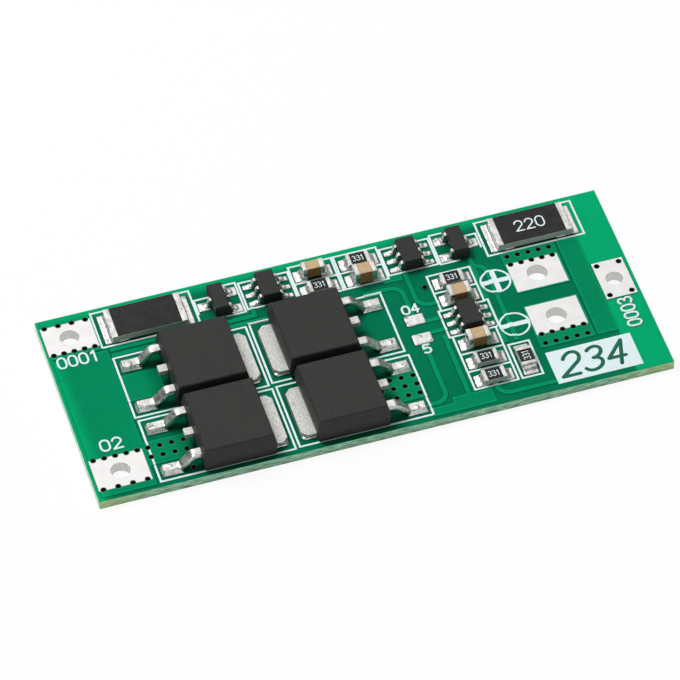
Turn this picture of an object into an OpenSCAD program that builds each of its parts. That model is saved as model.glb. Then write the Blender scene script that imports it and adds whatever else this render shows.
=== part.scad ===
// Protection and balancing board for a two-cell lithium pack: a two-layer circuit board with five
// solder terminals, four power transistors and the control parts beside them.
// The origin is at the middle of the underside, +X runs along the board and +Z is up.

/* [Board] */
// Length of the board
board_l = 48; // [47.6:0.2:60]
// Width of the board
board_w = 20; // [19.9:0.1:30]
// Thickness of the glass laminate core
core_t = 0.8; // [0.4:0.1:2.4]
// Thickness of the copper on each face
copper_t = 0.07; // [0.035:0.005:0.14]
// Thickness of the solder mask
mask_t = 0.03; // [0.02:0.005:0.05]
// Bare margin between the copper and the board's edge
rim = 0.35; // [0.2:0.05:0.5]
// Bare gap around a copper area of another net
net_gap = 0.3; // [0.15:0.05:0.5]
// Width of a signal track
track_w = 0.3; // [0.15:0.05:0.4]

/* [Terminals] */
// Length of the pack positive terminal's tinned land
plus_land_l = 4.2; // [3:0.1:4.3]
// Width of the pack positive terminal's tinned land
plus_land_w = 3.15; // [2.4:0.05:3.4]
// Length of the pack negative terminal's tinned land
minus_land_l = 4.4; // [3:0.1:4.4]
// Width of the pack negative terminal's tinned land
minus_land_w = 3.3; // [2.4:0.05:3.4]
// Diameter of a pack terminal's wire hole
pack_hole_d = 1.6; // [0.8:0.1:2]
// Length of an output terminal's tinned land
out_land_l = 4.35; // [3:0.05:4.5]
// Width of an output terminal's tinned land
out_land_w = 3.2; // [2.4:0.05:3.4]
// Diameter of an output terminal's wire hole
out_hole_d = 1.7; // [0.8:0.1:2]
// Length of the cell tap's tinned land
tap_land_l = 2.65; // [2:0.05:2.75]
// Width of the cell tap's tinned land
tap_land_w = 4.1; // [3:0.1:4.6]
// Diameter of the cell tap's wire hole
tap_hole_d = 1.4; // [0.8:0.1:1.6]
// Wall of the plating in a hole
plating_t = 0.05; // [0.03:0.01:0.08]
// Diameter of a via's open hole
via_d = 0.4; // [0.2:0.05:0.45]

/* [Power transistors] */
// Length of the moulded case, from the leads to the tab
fet_l = 6.1; // [5.6:0.1:6.3]
// Width of the moulded case
fet_w = 6.6; // [6:0.1:6.7]
// Height of the moulded case
fet_h = 2.3; // [1.9:0.1:3]
// Length of the drain tab beyond the case
fet_tab_out = 1.1; // [0.6:0.1:1.2]
// Width of the drain tab
fet_tab_w = 5.2; // [4.4:0.1:5.4]
// Thickness of the lead frame
fet_frame_t = 0.4; // [0.35:0.05:0.6]
// Length of the outer leads beyond the case
fet_lead_out = 3.1; // [2.8:0.1:3.2]
// Width of a lead
fet_lead_w = 0.75; // [0.6:0.05:0.9]
// Distance between neighbouring leads
fet_lead_pitch = 2.286; // [2:0.1:2.5]
// Length of the cropped middle lead beyond the case
fet_stub_out = 0.7; // [0.4:0.1:1]
// Height of the middle of the leads where they leave the case
fet_lead_z = 1.22; // [1:0.05:1.4]

/* [Balance resistors] */
// Length of a balance resistor
shunt_l = 6.4; // [5.8:0.1:6.6]
// Width of a balance resistor
shunt_w = 3.2; // [2.6:0.1:3.3]
// Height of a balance resistor
shunt_h = 0.6; // [0.4:0.05:0.9]
// Length of a balance resistor's end cap on the top face
shunt_cap_l = 0.5; // [0.3:0.05:0.7]

/* [Small cases] */
// Length of the small cases, across the board
sot_w = 2.9; // [2.7:0.05:3]
// Width of a three-lead case
sot3_l = 1.3; // [1.2:0.05:1.5]
// Height of a three-lead case
sot3_h = 1; // [0.9:0.05:1.3]
// Width of a six-lead case
sot6_l = 1.6; // [1.5:0.05:1.8]
// Height of a six-lead case
sot6_h = 1.1; // [0.9:0.05:1.3]
// Length of a lead beyond its case
sot_lead_out = 0.6; // [0.5:0.05:0.7]
// Width of a lead
sot_lead_w = 0.35; // [0.3:0.05:0.45]
// Distance between neighbouring leads on the six-lead case
sot_lead_pitch = 0.95; // [0.9:0.01:1]
// Thickness of a lead
sot_lead_t = 0.13; // [0.1:0.01:0.16]

/* [Chips] */
// Length of a chip resistor or capacitor
chip_l = 1.9; // [1.6:0.05:2.1]
// Width of a chip resistor
chip_w = 1.25; // [0.8:0.05:1.35]
// Height of a chip resistor
chip_h = 0.5; // [0.35:0.05:0.6]
// Length of a chip resistor's end cap on the top face
chip_cap_l = 0.33; // [0.2:0.01:0.4]
// Length of a capacitor's end cap
cap_cap_l = 0.45; // [0.3:0.05:0.55]
// Thickness of an end cap's metal
end_cap_t = 0.03; // [0.02:0.01:0.05]
// Thickness of a resistor's black coat
coat_t = 0.025; // [0.01:0.005:0.03]

/* [Finish] */
// Height of solder under a lead
solder_t = 0.06; // [0.055:0.005:0.1]
// Thickness of the white print
print_t = 0.02; // [0.01:0.005:0.02]
// Width of a printed line
print_w = 0.17; // [0.1:0.01:0.2]
// Outer diameter of the plus and minus signs' circles
sign_d = 2.6; // [2:0.1:2.6]
// Width of the bars in the plus and minus signs
sign_bar = 0.45; // [0.2:0.05:0.6]

/* [Hidden] */
$fn = 48;
EPS = 0.01;

// Heights of the layers, from the underside up
z_core_bottom = mask_t + copper_t;
z_core_top = z_core_bottom + core_t;
z_copper_top = z_core_top + copper_t;
z_low_mask = z_core_top + mask_t;
z_top = z_copper_top + mask_t;
z_seat = z_copper_top + solder_t;

// A place measured from the board's left, right, front or back edge
function from_left(d) = d - board_l / 2;
function from_right(d) = board_l / 2 - d;
function from_front(d) = d - board_w / 2;
function from_back(d) = board_w / 2 - d;

via_r = via_d / 2 + plating_t;

// Pads of the parts
fet_foot_l = 1.4;
fet_pad_margin = 0.18;
fet_tab_margin = 0.03;
shunt_pad_l = 2;
shunt_pad_out = 0.6;
sot_pad_l = 1;
sot3_pad_w = 0.95;
sot6_pad_w = 0.5;
sot_pad_out = 0.5;
chip_pad_l = 1.1;
chip_pad_out = 0.68;
jumper_w = 1.15;
jumper_l = 1.65;

fet_tip = fet_l / 2 + fet_lead_out;
fet_tab_end = fet_l / 2 + fet_tab_out;
fet_paddle_x = -1.4;

// Room that each part takes along the board, pads included
fet_span = fet_tip + fet_pad_margin + fet_tab_end + fet_tab_margin;
shunt_span = shunt_l + 2 * shunt_pad_out;
sot3_span = sot3_l + 2 * (sot_lead_out + sot_pad_out);
sot6_span = sot6_l + 2 * (sot_lead_out + sot_pad_out);
chip_span = chip_l + 2 * chip_pad_out;

// Middles of the parts in a row from 0 to total. The parts keep their lengths, and the gaps
// before, between and after them share the room that is left in the proportions given.
function added(list, k) = k < 0 ? 0 : list[k] + added(list, k - 1);
function row_middles(lengths, gaps, total) = let (
        last = len(lengths) - 1,
        stretch = (total - added(lengths, last)) / added(gaps, last + 1)
    ) [for (k = [0 : last]) added(lengths, k) - lengths[k] / 2 + stretch * added(gaps, k)];

// The transistors' two rows and the back row across the board
ROWS = row_middles([fet_w, fet_w, shunt_w], [0.39, 0.49, 1.75, 0.97], board_w);
front_y = from_front(ROWS[0]);
middle_y = from_front(ROWS[1]);
row_y = from_front(ROWS[2]);

// The back row along the board, from the pack positive terminal to the second balance resistor
BACK = row_middles(
    [plus_land_l, shunt_span, sot3_span, sot6_span, chip_span, chip_span, sot6_span, sot3_span, shunt_span],
    [0.2, 0.5, 0.6, 0.55, 0.57, 0.59, 0.57, 0.5, 0.7, 2.7], board_l);

// The front of the board along its length, from the pack negative terminal to the cell tap
FRONT = row_middles(
    [minus_land_l, fet_span, fet_span, jumper_l, sot6_span, out_land_l, tap_land_l],
    [0.28, 0.81, 1.1, 1.045, 1.495, 2.795, 2.28, 0.325], board_l);
jumper_x = from_left(FRONT[3]);
control_x = from_left(FRONT[4]);
out_x = from_left(FRONT[5]);
out_left = out_x - out_land_l / 2;
out_right = out_x + out_land_l / 2;
tap_left = from_left(FRONT[6]) - tap_land_l / 2;

// Terminals: middle of the hole, length and width of the land, diameter of the hole
PACK_PLUS = [from_left(BACK[0]), row_y + 0.1, plus_land_l, plus_land_w, pack_hole_d];
PACK_MINUS = [from_left(FRONT[0]), front_y - 1.07, minus_land_l, minus_land_w, pack_hole_d];
OUT_PLUS = [out_x, 2.6, out_land_l, out_land_w, out_hole_d];
OUT_MINUS = [out_x, -2.35, out_land_l, out_land_w, out_hole_d];
CELL_TAP = [from_left(FRONT[6]), 0.05, tap_land_l, tap_land_w, tap_hole_d];
TERMINALS = [PACK_PLUS, PACK_MINUS, OUT_PLUS, OUT_MINUS, CELL_TAP];

// Power transistors: middle of the case and the side that the tab faces
case_shift = (fet_tip + fet_pad_margin - fet_tab_end - fet_tab_margin) / 2;
left_fet_x = from_left(FRONT[1]) + case_shift;
right_fet_x = from_left(FRONT[2]) - case_shift;
FETS = [
    [left_fet_x - 0.15, middle_y, 1],
    [right_fet_x - 0.18, middle_y + 0.17, -1],
    [left_fet_x, front_y, 1],
    [right_fet_x, front_y + 0.09, -1]
];

// Balance resistors
SHUNTS = [[from_left(BACK[1]), row_y + 0.05], [from_left(BACK[8]), row_y]];

// Three-lead cases: middle of the case and the side of the single lead
SOT3S = [[from_left(BACK[2]), row_y - 0.05, -1], [from_left(BACK[7]), row_y, 1]];

// The control parts in a column from the front edge to the back row
cap_width = 1.25;
small_cap_w = 1.2;
COLUMN = row_middles([chip_w, chip_w, small_cap_w, sot_w, cap_width, chip_w],
    [2.175, 0.75, 0.875, 0.45, 0.475, 0.67, 1.485], ROWS[2] - sot_w / 2);
cap_x = control_x - 0.03;
// Middle of the room between the control parts and the output terminals
side_x = (cap_x + chip_span / 2 + out_left) / 2;

// Six-lead cases
SOT6S = [[from_left(BACK[3]), row_y], [from_left(BACK[6]), row_y], [control_x, from_front(COLUMN[3])]];

// Capacitors: middle, width and height
CAPS = [
    [from_left(BACK[4]) - 0.05, row_y + 0.77, 1, 1.1],
    [from_left(BACK[5]), row_y - 1.01, cap_width, 1.25],
    [cap_x, from_front(COLUMN[4]), cap_width, 1.15],
    [cap_x, from_front(COLUMN[2]), small_cap_w, 1.1]
];

// Chip resistors: middle and the angle of their length
CHIPS = [
    [from_left(BACK[4]), row_y - 1.03, 0],
    [from_left(BACK[5]), row_y + 0.82, 0],
    [cap_x, from_front(COLUMN[5]), 0],
    [cap_x, from_front(COLUMN[1]), 0],
    [cap_x, from_front(COLUMN[0]), 0],
    [side_x - 0.13, (from_front(COLUMN[0]) + from_front(COLUMN[1])) / 2 + 0.07, 90]
];

// Bridged jumper pads beside the protection circuit's leads
JUMPERS = [[jumper_x, SOT6S[2][1] + 1.32], [jumper_x, SOT6S[2][1] - 0.8]];

// Each pad is its middle, its length along X and its width along Y
function fet_pads(f) = let (
        tab_l = fet_tab_end + fet_tab_margin - fet_paddle_x,
        tab_x = fet_paddle_x + tab_l / 2,
        foot_l = fet_foot_l + 2 * fet_pad_margin,
        foot_x = -(fet_tip - fet_foot_l / 2)
    ) concat(
        [[f[0] + f[2] * tab_x, f[1], tab_l, fet_tab_w + 2 * fet_tab_margin]],
        [for (s = [-1, 1]) [f[0] + f[2] * foot_x, f[1] + s * fet_lead_pitch, foot_l,
            fet_lead_w + 2 * fet_pad_margin]]
    );
function two_pads(p, l, w, pad_l, out) =
    [for (s = [-1, 1]) [p[0] + s * (l / 2 + out - pad_l / 2), p[1], pad_l, w]];
function sot3_lead_y(side, p) = side == p[2] ? [0] : [-sot_lead_pitch, sot_lead_pitch];
function sot_pad_x(l) = l / 2 + sot_lead_out + sot_pad_out - sot_pad_l / 2;
function sot3_pads(p) = [
    for (side = [-1, 1], y = sot3_lead_y(side, p))
        [p[0] + side * sot_pad_x(sot3_l), p[1] + y, sot_pad_l, sot3_pad_w]
];
function sot6_pads(p) = [
    for (side = [-1, 1], k = [-1 : 1])
        [p[0] + side * sot_pad_x(sot6_l), p[1] + k * sot_lead_pitch, sot_pad_l, sot6_pad_w]
];
function chip_pads(p, w) = p[2] == 90
    ? [for (s = [-1, 1]) [p[0], p[1] + s * (chip_l / 2 + chip_pad_out - chip_pad_l / 2), w, chip_pad_l]]
    : two_pads(p, chip_l, w, chip_pad_l, chip_pad_out);
PADS = concat(
    [for (f = FETS) each fet_pads(f)],
    [for (p = SHUNTS) each two_pads(p, shunt_l, shunt_w, shunt_pad_l, shunt_pad_out)],
    [for (p = SOT3S) each sot3_pads(p)],
    [for (p = SOT6S) each sot6_pads(p)],
    [for (p = CAPS) each two_pads(p, chip_l, chip_w, chip_pad_l, chip_pad_out)],
    [for (p = CHIPS) each chip_pads(p, chip_w)],
    [for (p = JUMPERS) [p[0], p[1], jumper_l, jumper_w]]
);

// Vias stand in rows: first via, step along X and number.
// A row on a terminal spans its land, and starts via_inset from the land's end.
via_inset = 0.38;
via_overhang = 0.05;
via_step = 0.98;
function back_edge(t) = t[1] + t[3] / 2;
function front_edge(t) = t[1] - t[3] / 2;
function via_row(t, y, count) =
    [t[0] - t[2] / 2 + via_inset, y, (t[2] - 2 * via_inset) / (count - 1), count];
VIA_ROWS = [
    via_row(PACK_PLUS, back_edge(PACK_PLUS) - via_overhang, 4),
    via_row(PACK_PLUS, front_edge(PACK_PLUS) + via_overhang, 5),
    via_row(PACK_MINUS, back_edge(PACK_MINUS) - via_overhang, 5),
    via_row(PACK_MINUS, front_edge(PACK_MINUS) + 2 * via_overhang, 4),
    via_row(OUT_PLUS, back_edge(OUT_PLUS) - 2 * via_overhang, 5),
    via_row(OUT_PLUS, back_edge(OUT_PLUS) + 0.82, 5),
    via_row(OUT_MINUS, front_edge(OUT_MINUS), 5),
    via_row(OUT_MINUS, front_edge(OUT_MINUS) - 1.02, 5),
    via_row(CELL_TAP, back_edge(CELL_TAP) - via_inset, 2),
    via_row(CELL_TAP, front_edge(CELL_TAP) + via_inset, 2),
    [FETS[2][0] - 6.65, FETS[2][1] + 0.52, via_step, 4],
    [FETS[2][0] - 6.65, FETS[2][1] - 0.5, via_step, 4],
    [FETS[2][0] - 3.72, FETS[2][1] - 2.54, via_step, 1],
    [FETS[3][0] + 4.3, FETS[3][1] + 1.27, via_step, 3],
    [FETS[3][0] + 3.35, FETS[3][1] + 0.32, via_step, 4],
    [FETS[3][0] + 4.3, FETS[3][1] - 0.68, via_step, 3],
    [control_x - 2.35, CHIPS[2][1] + 0.03, via_step, 1]
];
VIAS = [for (row = VIA_ROWS, k = [0 : row[3] - 1]) [row[0] + k * row[2], row[1]]];

function numbered(stem, count, tail) = [for (k = [1 : count]) str(stem, "_", k, "_", tail)];
TERMINAL_NODES = ["pack_positive_terminal", "pack_negative_terminal", "output_positive_terminal",
    "output_negative_terminal", "cell_tap_terminal"];
FET_CASES = numbered("power_transistor", 4, "case");
FET_FRAMES = numbered("power_transistor", 4, "drain_tab");
FET_LEADS = numbered("power_transistor", 4, "leads");
SHUNT_CORES = numbered("balance_resistor", 2, "ceramic");
SHUNT_COATS = numbered("balance_resistor", 2, "coat");
SHUNT_ENDS = numbered("balance_resistor", 2, "end_caps");
SOT3_CASES = numbered("balance_switch", 2, "case");
SOT3_LEADS = numbered("balance_switch", 2, "leads");
SOT6_CASES = ["balance_ic_1_case", "balance_ic_2_case", "protection_ic_case"];
SOT6_LEADS = ["balance_ic_1_leads", "balance_ic_2_leads", "protection_ic_leads"];
CAP_CORES = numbered("capacitor", 4, "ceramic");
CAP_ENDS = numbered("capacitor", 4, "end_caps");
CHIP_CORES = numbered("chip_resistor", 6, "ceramic");
CHIP_ENDS = numbered("chip_resistor", 6, "end_caps");

// ---- Flat shapes of the board's layers ----

module board_2d() {
    square([board_l, board_w], center = true);
}

// A rectangle between two corners, made wider by g on every side
module area(x0, y0, x1, y1, g = 0) {
    translate([x0 - g, y0 - g]) square([x1 - x0 + 2 * g, y1 - y0 + 2 * g]);
}

// A straight track between two points on one line along X or Y
module track(x0, y0, x1, y1, g) {
    area(min(x0, x1), min(y0, y1), max(x0, x1), max(y0, y1), g + track_w / 2);
}

// A quarter bend in a track, from the given angle
module track_bend(x, y, r, angle, g) {
    translate([x, y]) intersection() {
        difference() {
            circle(r + track_w / 2 + g);
            circle(r - track_w / 2 - g);
        }
        rotate(angle) square(r + track_w);
    }
}

module vias_2d(r) {
    for (v = VIAS) translate(v) circle(r);
}

module terminal_land_2d(t) {
    translate([t[0], t[1]]) square([t[2], t[3]], center = true);
}

module lands_2d() {
    for (t = TERMINALS) terminal_land_2d(t);
}

module barrels_2d(wall) {
    for (t = TERMINALS) translate([t[0], t[1]]) circle(t[4] / 2 + wall);
}

module pads_2d() {
    for (p = PADS) translate([p[0], p[1]]) square([p[2], p[3]], center = true);
}

// Copper around the terminals that both faces carry
module net_areas_2d(g) {
    side = 0.1;
    area(from_left(rim), front_edge(PACK_PLUS) - 0.4, PACK_PLUS[0] + plus_land_l / 2 + side,
        from_back(rim), g);
    area(out_left - side, front_edge(OUT_PLUS) - side, out_right + 0.15, back_edge(OUT_PLUS) + 1.2, g);
    area(out_left - side, front_edge(OUT_MINUS) - 1.4, out_right + 0.15, back_edge(OUT_MINUS) + side, g);
}

// Two tracks run in the room between the transistors and the back row
back_room = row_y - shunt_w / 2 - (middle_y + fet_w / 2);
low_y = middle_y + fet_w / 2 + 0.3 * back_room;
high_y = middle_y + fet_w / 2 + 0.64 * back_room;

// The gate track of the lower right transistor
gate_y = FETS[3][1] - fet_lead_pitch + 0.1;

module tracks_2d(g) {
    start_x = FETS[0][0] - fet_tip - 0.3;
    rise_x = SOT6S[0][0] - 1.75;
    track(start_x, low_y, rise_x + 0.7, low_y, g);
    track(start_x, high_y, rise_x, high_y, g);
    track(rise_x, high_y, rise_x, row_y - 1, g);
    // From the upper right transistor to the first jumper
    track(FETS[1][0] + fet_tip - 0.75, low_y, jumper_x - 1, low_y, g);
    track_bend(jumper_x - 1, low_y - 1, 1, 0, g);
    track(jumper_x, low_y - 1, jumper_x, JUMPERS[0][1], g);
    // From the second balance circuit to the control parts
    fall_x = jumper_x + 0.77;
    cap_y = CAPS[2][1] + 0.05;
    track(fall_x, row_y - 1.63, fall_x, cap_y + 1, g);
    track_bend(fall_x + 1, cap_y + 1, 1, 180, g);
    track(fall_x + 1, cap_y, cap_x - 1.57, cap_y, g);
    // From the jumpers to the protection circuit
    chip_x = control_x - 2.2;
    track(jumper_x, JUMPERS[0][1] - 0.4, chip_x, JUMPERS[0][1] - 0.4, g);
    track(jumper_x, JUMPERS[1][1] + 0.42, chip_x, JUMPERS[1][1] + 0.42, g);
    // From the second jumper to the lower right transistor
    track(jumper_x, JUMPERS[1][1], jumper_x, gate_y + 1, g);
    track_bend(jumper_x - 1, gate_y + 1, 1, -90, g);
    track(FETS[3][0] + fet_tip - 1, gate_y, jumper_x - 1, gate_y, g);
    // Down the left side of the front chip resistors
    track(control_x - 2.45, from_front(1.6), control_x - 2.45, JUMPERS[1][1] - 0.4, g);
    // Beside the plus and minus signs
    sign_y = OUT_MINUS[1] - 1.35;
    track(side_x - 0.15, sign_y, side_x - 0.15, low_y - 0.7, g);
    track_bend(side_x - 1.15, low_y - 0.7, 1, 0, g);
    track(side_x - 1.05, sign_y, side_x - 1.05, row_y - 1.83, g);
    // Along the front edge
    track(cap_x - 0.07, from_front(2.2), cap_x - 0.07, from_front(1.9), g);
    track_bend(cap_x + 0.93, from_front(1.9), 1, 180, g);
    track(cap_x + 0.93, from_front(0.9), out_left - 0.1, from_front(0.9), g);
}

module top_copper_2d(g = 0) {
    pour_right = PACK_MINUS[0] + minus_land_l / 2 + 0.17;
    net_areas_2d(g);
    tracks_2d(g);
    // The left pour, the source of each left transistor and the source of the lower right one
    area(from_left(rim), from_front(rim), pour_right, front_edge(PACK_PLUS) - 0.7, g);
    area(pour_right - 0.05, FETS[0][1] - 1.4, FETS[0][0] - 3.47, FETS[0][1] + 1.4, g);
    area(pour_right - 0.05, FETS[2][1] - 1.3, FETS[2][0] - 3.22, FETS[2][1] + 1.1, g);
    area(FETS[3][0] + 3.22, FETS[3][1] - 1.2, FETS[3][0] + 6.72, FETS[3][1] + 1.7, g);
    // Pours beside the control parts and behind the output terminals
    area(FETS[3][0] + fet_tip + 0.5, from_front(rim), cap_x - 0.55, gate_y - 0.45, g);
    area(jumper_x + 0.35, from_front(rim), cap_x - 0.55, from_front(1.75), g);
    area(SOT6S[1][0] - 2.8, row_y - 2.13, SOT6S[1][0] - 1.2, row_y - 1.53, g);
    area(out_right + 0.4, front_edge(OUT_MINUS) - 1.4, tap_left - 0.175, back_edge(OUT_PLUS) + 1.2, g);
}

module bottom_copper_2d(g = 0) {
    difference() {
        area(from_left(rim), from_front(rim), tap_left - 0.175, from_back(rim), g);
        net_areas_2d(net_gap - g);
    }
    net_areas_2d(g);
}

// ---- The board ----

module pcb_laminate() {
    color("#8fae86") translate([0, 0, z_core_bottom]) linear_extrude(core_t) difference() {
        board_2d();
        barrels_2d(plating_t);
        vias_2d(via_r);
    }
}

module copper_layers() {
    color("#b87b52") difference() {
        union() {
            translate([0, 0, mask_t]) linear_extrude(copper_t) difference() {
                bottom_copper_2d();
                lands_2d();
            }
            translate([0, 0, z_core_top]) linear_extrude(copper_t) difference() {
                union() {
                    top_copper_2d();
                    pads_2d();
                }
                lands_2d();
            }
            linear_extrude(z_top) vias_2d(via_r);
        }
        translate([0, 0, -EPS]) linear_extrude(z_top + 2 * EPS) vias_2d(via_d / 2);
    }
}

// A mask that follows the copper: children are the copper, the copper widened by the mask and the openings
module mask_layer() {
    difference() {
        union() {
            linear_extrude(mask_t) board_2d();
            linear_extrude(copper_t + mask_t) intersection() {
                board_2d();
                children(1);
            }
        }
        translate([0, 0, -EPS]) linear_extrude(copper_t + EPS) children(0);
        translate([0, 0, -EPS]) linear_extrude(copper_t + mask_t + 2 * EPS) children(2);
    }
}

module solder_mask_top() {
    color("#018a5c") translate([0, 0, z_core_top]) mask_layer() {
        top_copper_2d();
        top_copper_2d(mask_t);
        union() {
            lands_2d();
            pads_2d();
            vias_2d(via_r);
        }
    }
}

module solder_mask_bottom() {
    color("#018a5c") translate([0, 0, z_core_bottom]) mirror([0, 0, 1]) mask_layer() {
        bottom_copper_2d();
        bottom_copper_2d(mask_t);
        union() {
            lands_2d();
            vias_2d(via_r);
        }
    }
}

module terminal(t) {
    color("#e6e4e2") difference() {
        union() {
            linear_extrude(z_core_bottom) terminal_land_2d(t);
            translate([0, 0, z_core_top]) linear_extrude(z_top - z_core_top) terminal_land_2d(t);
            translate([t[0], t[1], 0]) cylinder(h = z_top, r = t[4] / 2 + plating_t);
        }
        translate([t[0], t[1], -EPS]) cylinder(h = z_top + 2 * EPS, r = t[4] / 2);
        translate([0, 0, -EPS]) linear_extrude(z_top + 2 * EPS) vias_2d(via_r);
    }
}

// ---- White print ----

module print_box(x0, y0, x1, y1) {
    difference() {
        area(x0, y0, x1, y1, print_w / 2);
        area(x0, y0, x1, y1, -print_w / 2);
    }
}

// A box around a part: margins past its middle
module print_box_around(p, left, right, front, back) {
    print_box(p[0] - left, p[1] - front, p[0] + right, p[1] + back);
}

module sign_2d(x, y, plus) {
    translate([x, y]) {
        difference() {
            circle(d = sign_d);
            circle(d = sign_d - 2 * print_w);
        }
        square([sign_d - print_w, sign_bar], center = true);
        if (plus) square([sign_bar, sign_d - print_w], center = true);
    }
}

module print_2d() {
    for (f = FETS) {
        lead_side = fet_tip + 0.45;
        tab_side = fet_tab_end + 0.4;
        print_box_around(f, f[2] > 0 ? lead_side : tab_side, f[2] > 0 ? tab_side : lead_side,
            fet_w / 2 - 0.12, fet_w / 2 + 0.2);
    }
    for (p = SHUNTS) {
        half_l = shunt_l / 2 + shunt_pad_out + 0.35;
        print_box_around(p, half_l, half_l, shunt_w / 2 + 0.22, shunt_w / 2 + 0.45);
    }
    for (p = SOT6S) {
        half_l = sot6_l / 2 + sot_lead_out + sot_pad_out + 0.2;
        print_box_around(p, half_l, half_l, sot_w / 2 - 0.07, sot_w / 2 + 0.17);
    }
    for (p = SOT3S) mirrored_print(p) {
        half_l = sot3_l / 2 + sot_lead_out + sot_pad_out + 0.12;
        // Two sides and the back of the case on the two-lead side, a step on the one-lead side
        area(half_l, -1.5, half_l, 1.85, print_w / 2);
        area(0.85, 1.85, half_l, 1.85, print_w / 2);
        area(0.3, -1.5, half_l, -1.5, print_w / 2);
        area(-half_l, 0.95, -0.45, 0.95, print_w / 2);
        area(-half_l, -0.6, -half_l, 0.95, print_w / 2);
    }
    chip_boxes_2d();
    sign_2d(side_x + 0.2, OUT_PLUS[1] + 0.2, true);
    sign_2d(side_x + 0.2, OUT_MINUS[1] + 0.15, false);
    // The solid field in the corner
    area(out_left, from_front(0.55), tap_left + 0.57, from_front(4.05));
}

module mirrored_print(p) {
    translate([p[0], p[1]]) mirror([p[2] > 0 ? 1 : 0, 0]) children();
}

module chip_boxes_2d() {
    half_l = chip_l / 2 + chip_pad_out + 0.2;
    left_x = CHIPS[0][0];
    right_x = CHIPS[1][0];
    print_box(left_x - half_l, row_y - 1.73, left_x + half_l, row_y + 2.02);
    print_box(right_x - half_l, row_y - 1.73, right_x + half_l, row_y + 2.02);
    area(left_x - half_l, row_y + 0.05, right_x + half_l, row_y + 0.05, print_w / 2);
    // Two boxes behind the protection circuit share a line, and three in front of it
    wide = 1.12;
    narrow = 0.95;
    behind = (CHIPS[2][1] + CAPS[2][1]) / 2 + 0.09;
    for (edge = [
        [behind, CHIPS[2][1] + wide], [CAPS[2][1] - narrow, behind], [CAPS[3][1] - narrow, CAPS[3][1] + wide],
        [CHIPS[3][1] - 0.8, CAPS[3][1] - narrow], [CHIPS[4][1] - 0.75, CHIPS[3][1] - 0.8]
    ])
        print_box(cap_x - half_l, edge[0], cap_x + half_l, edge[1]);
    print_box_around(CHIPS[5], 0.87, 0.87, 1.82, 1.93);
}

module white_print() {
    step = z_top + print_t - z_low_mask;
    color("#dfe9e8") translate([0, 0, z_low_mask]) difference() {
        intersection() {
            linear_extrude(step) print_2d();
            union() {
                linear_extrude(print_t) board_2d();
                linear_extrude(step) top_copper_2d(mask_t + print_t);
            }
        }
        translate([0, 0, -EPS]) linear_extrude(copper_t + EPS) top_copper_2d(mask_t);
        translate([0, 0, -EPS]) linear_extrude(step + 2 * EPS) union() {
            lands_2d();
            pads_2d();
            vias_2d(via_r);
        }
    }
}

// ---- Shared shapes of the parts ----

// A moulded case on the seat plane, widest at its parting line and drafted above and below it
module moulded_case(l, w, h, part_z, draft_l, draft_w, edge) {
    function outline(half, draft) = [
        [-half + draft / 2, 0], [half - draft / 2, 0], [half, part_z],
        [half - draft, h - edge], [half - draft - edge, h],
        [-half + draft + edge, h], [-half + draft, h - edge], [-half, part_z]
    ];
    intersection() {
        rotate([90, 0, 0]) linear_extrude(w + 1, center = true) polygon(outline(l / 2, draft_l));
        rotate([90, 0, 90]) linear_extrude(l + 1, center = true) polygon(outline(w / 2, draft_w));
    }
}

// Outline of a gull-wing lead: flat out of the case, down a slope and flat on the pad.
// It runs along +X from the case's wall at x = 0, and starts inside the case.
function arc(x, z, r, a0, a1, n) = [for (k = [0 : n]) let (a = a0 + (a1 - a0) * k / n)
    [x + r * sin(a), z + r * cos(a)]];
function gull_wing(out, inside, z, t, flat, r, slope) = let (
        drop = z - t / 2 - 2 * r * (1 - cos(slope)),
        run = drop / tan(slope),
        x1 = flat + 2 * r * sin(slope) + run,
        n = 5
    ) concat(
        [[-inside, z + t / 2]],
        arc(flat, z - r, r + t / 2, 0, slope, n),
        arc(x1, t / 2 + r, r - t / 2, 180 + slope, 180, n),
        [[out, t], [out, 0]],
        arc(x1, t / 2 + r, r + t / 2, 180, 180 + slope, n),
        arc(flat, z - r, r - t / 2, slope, 0, n),
        [[-inside, z - t / 2]]
    );
module gull_wing_lead(points, w) {
    rotate([90, 0, 0]) linear_extrude(w, center = true) polygon(points);
}

// Where a lead starts on a case's left or right wall
module on_side(side, half_l, y) {
    translate([side * half_l, y, 0]) mirror([side < 0 ? 1 : 0, 0, 0]) children();
}

// A block with rounded edges, standing on z = 0
module soft_block(l, w, h, r) {
    intersection() {
        linear_extrude(h) round_rect(l, w, r);
        translate([0, 0, h / 2]) rotate([90, 0, 0]) linear_extrude(w, center = true) round_rect(l, h, r);
        translate([0, 0, h / 2]) rotate([90, 0, 90]) linear_extrude(l, center = true) round_rect(w, h, r);
    }
}

module round_rect(l, w, r) {
    square([l - 2 * r, w], center = true);
    square([l, w - 2 * r], center = true);
    for (x = [-1, 1], y = [-1, 1]) translate([x * (l / 2 - r), y * (w / 2 - r)]) circle(r);
}

// ---- Power transistors ----

fet_inside = 0.7;

module fet_place(f) {
    translate([f[0], f[1], z_seat]) rotate(f[2] > 0 ? 0 : 180) children();
}

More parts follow.
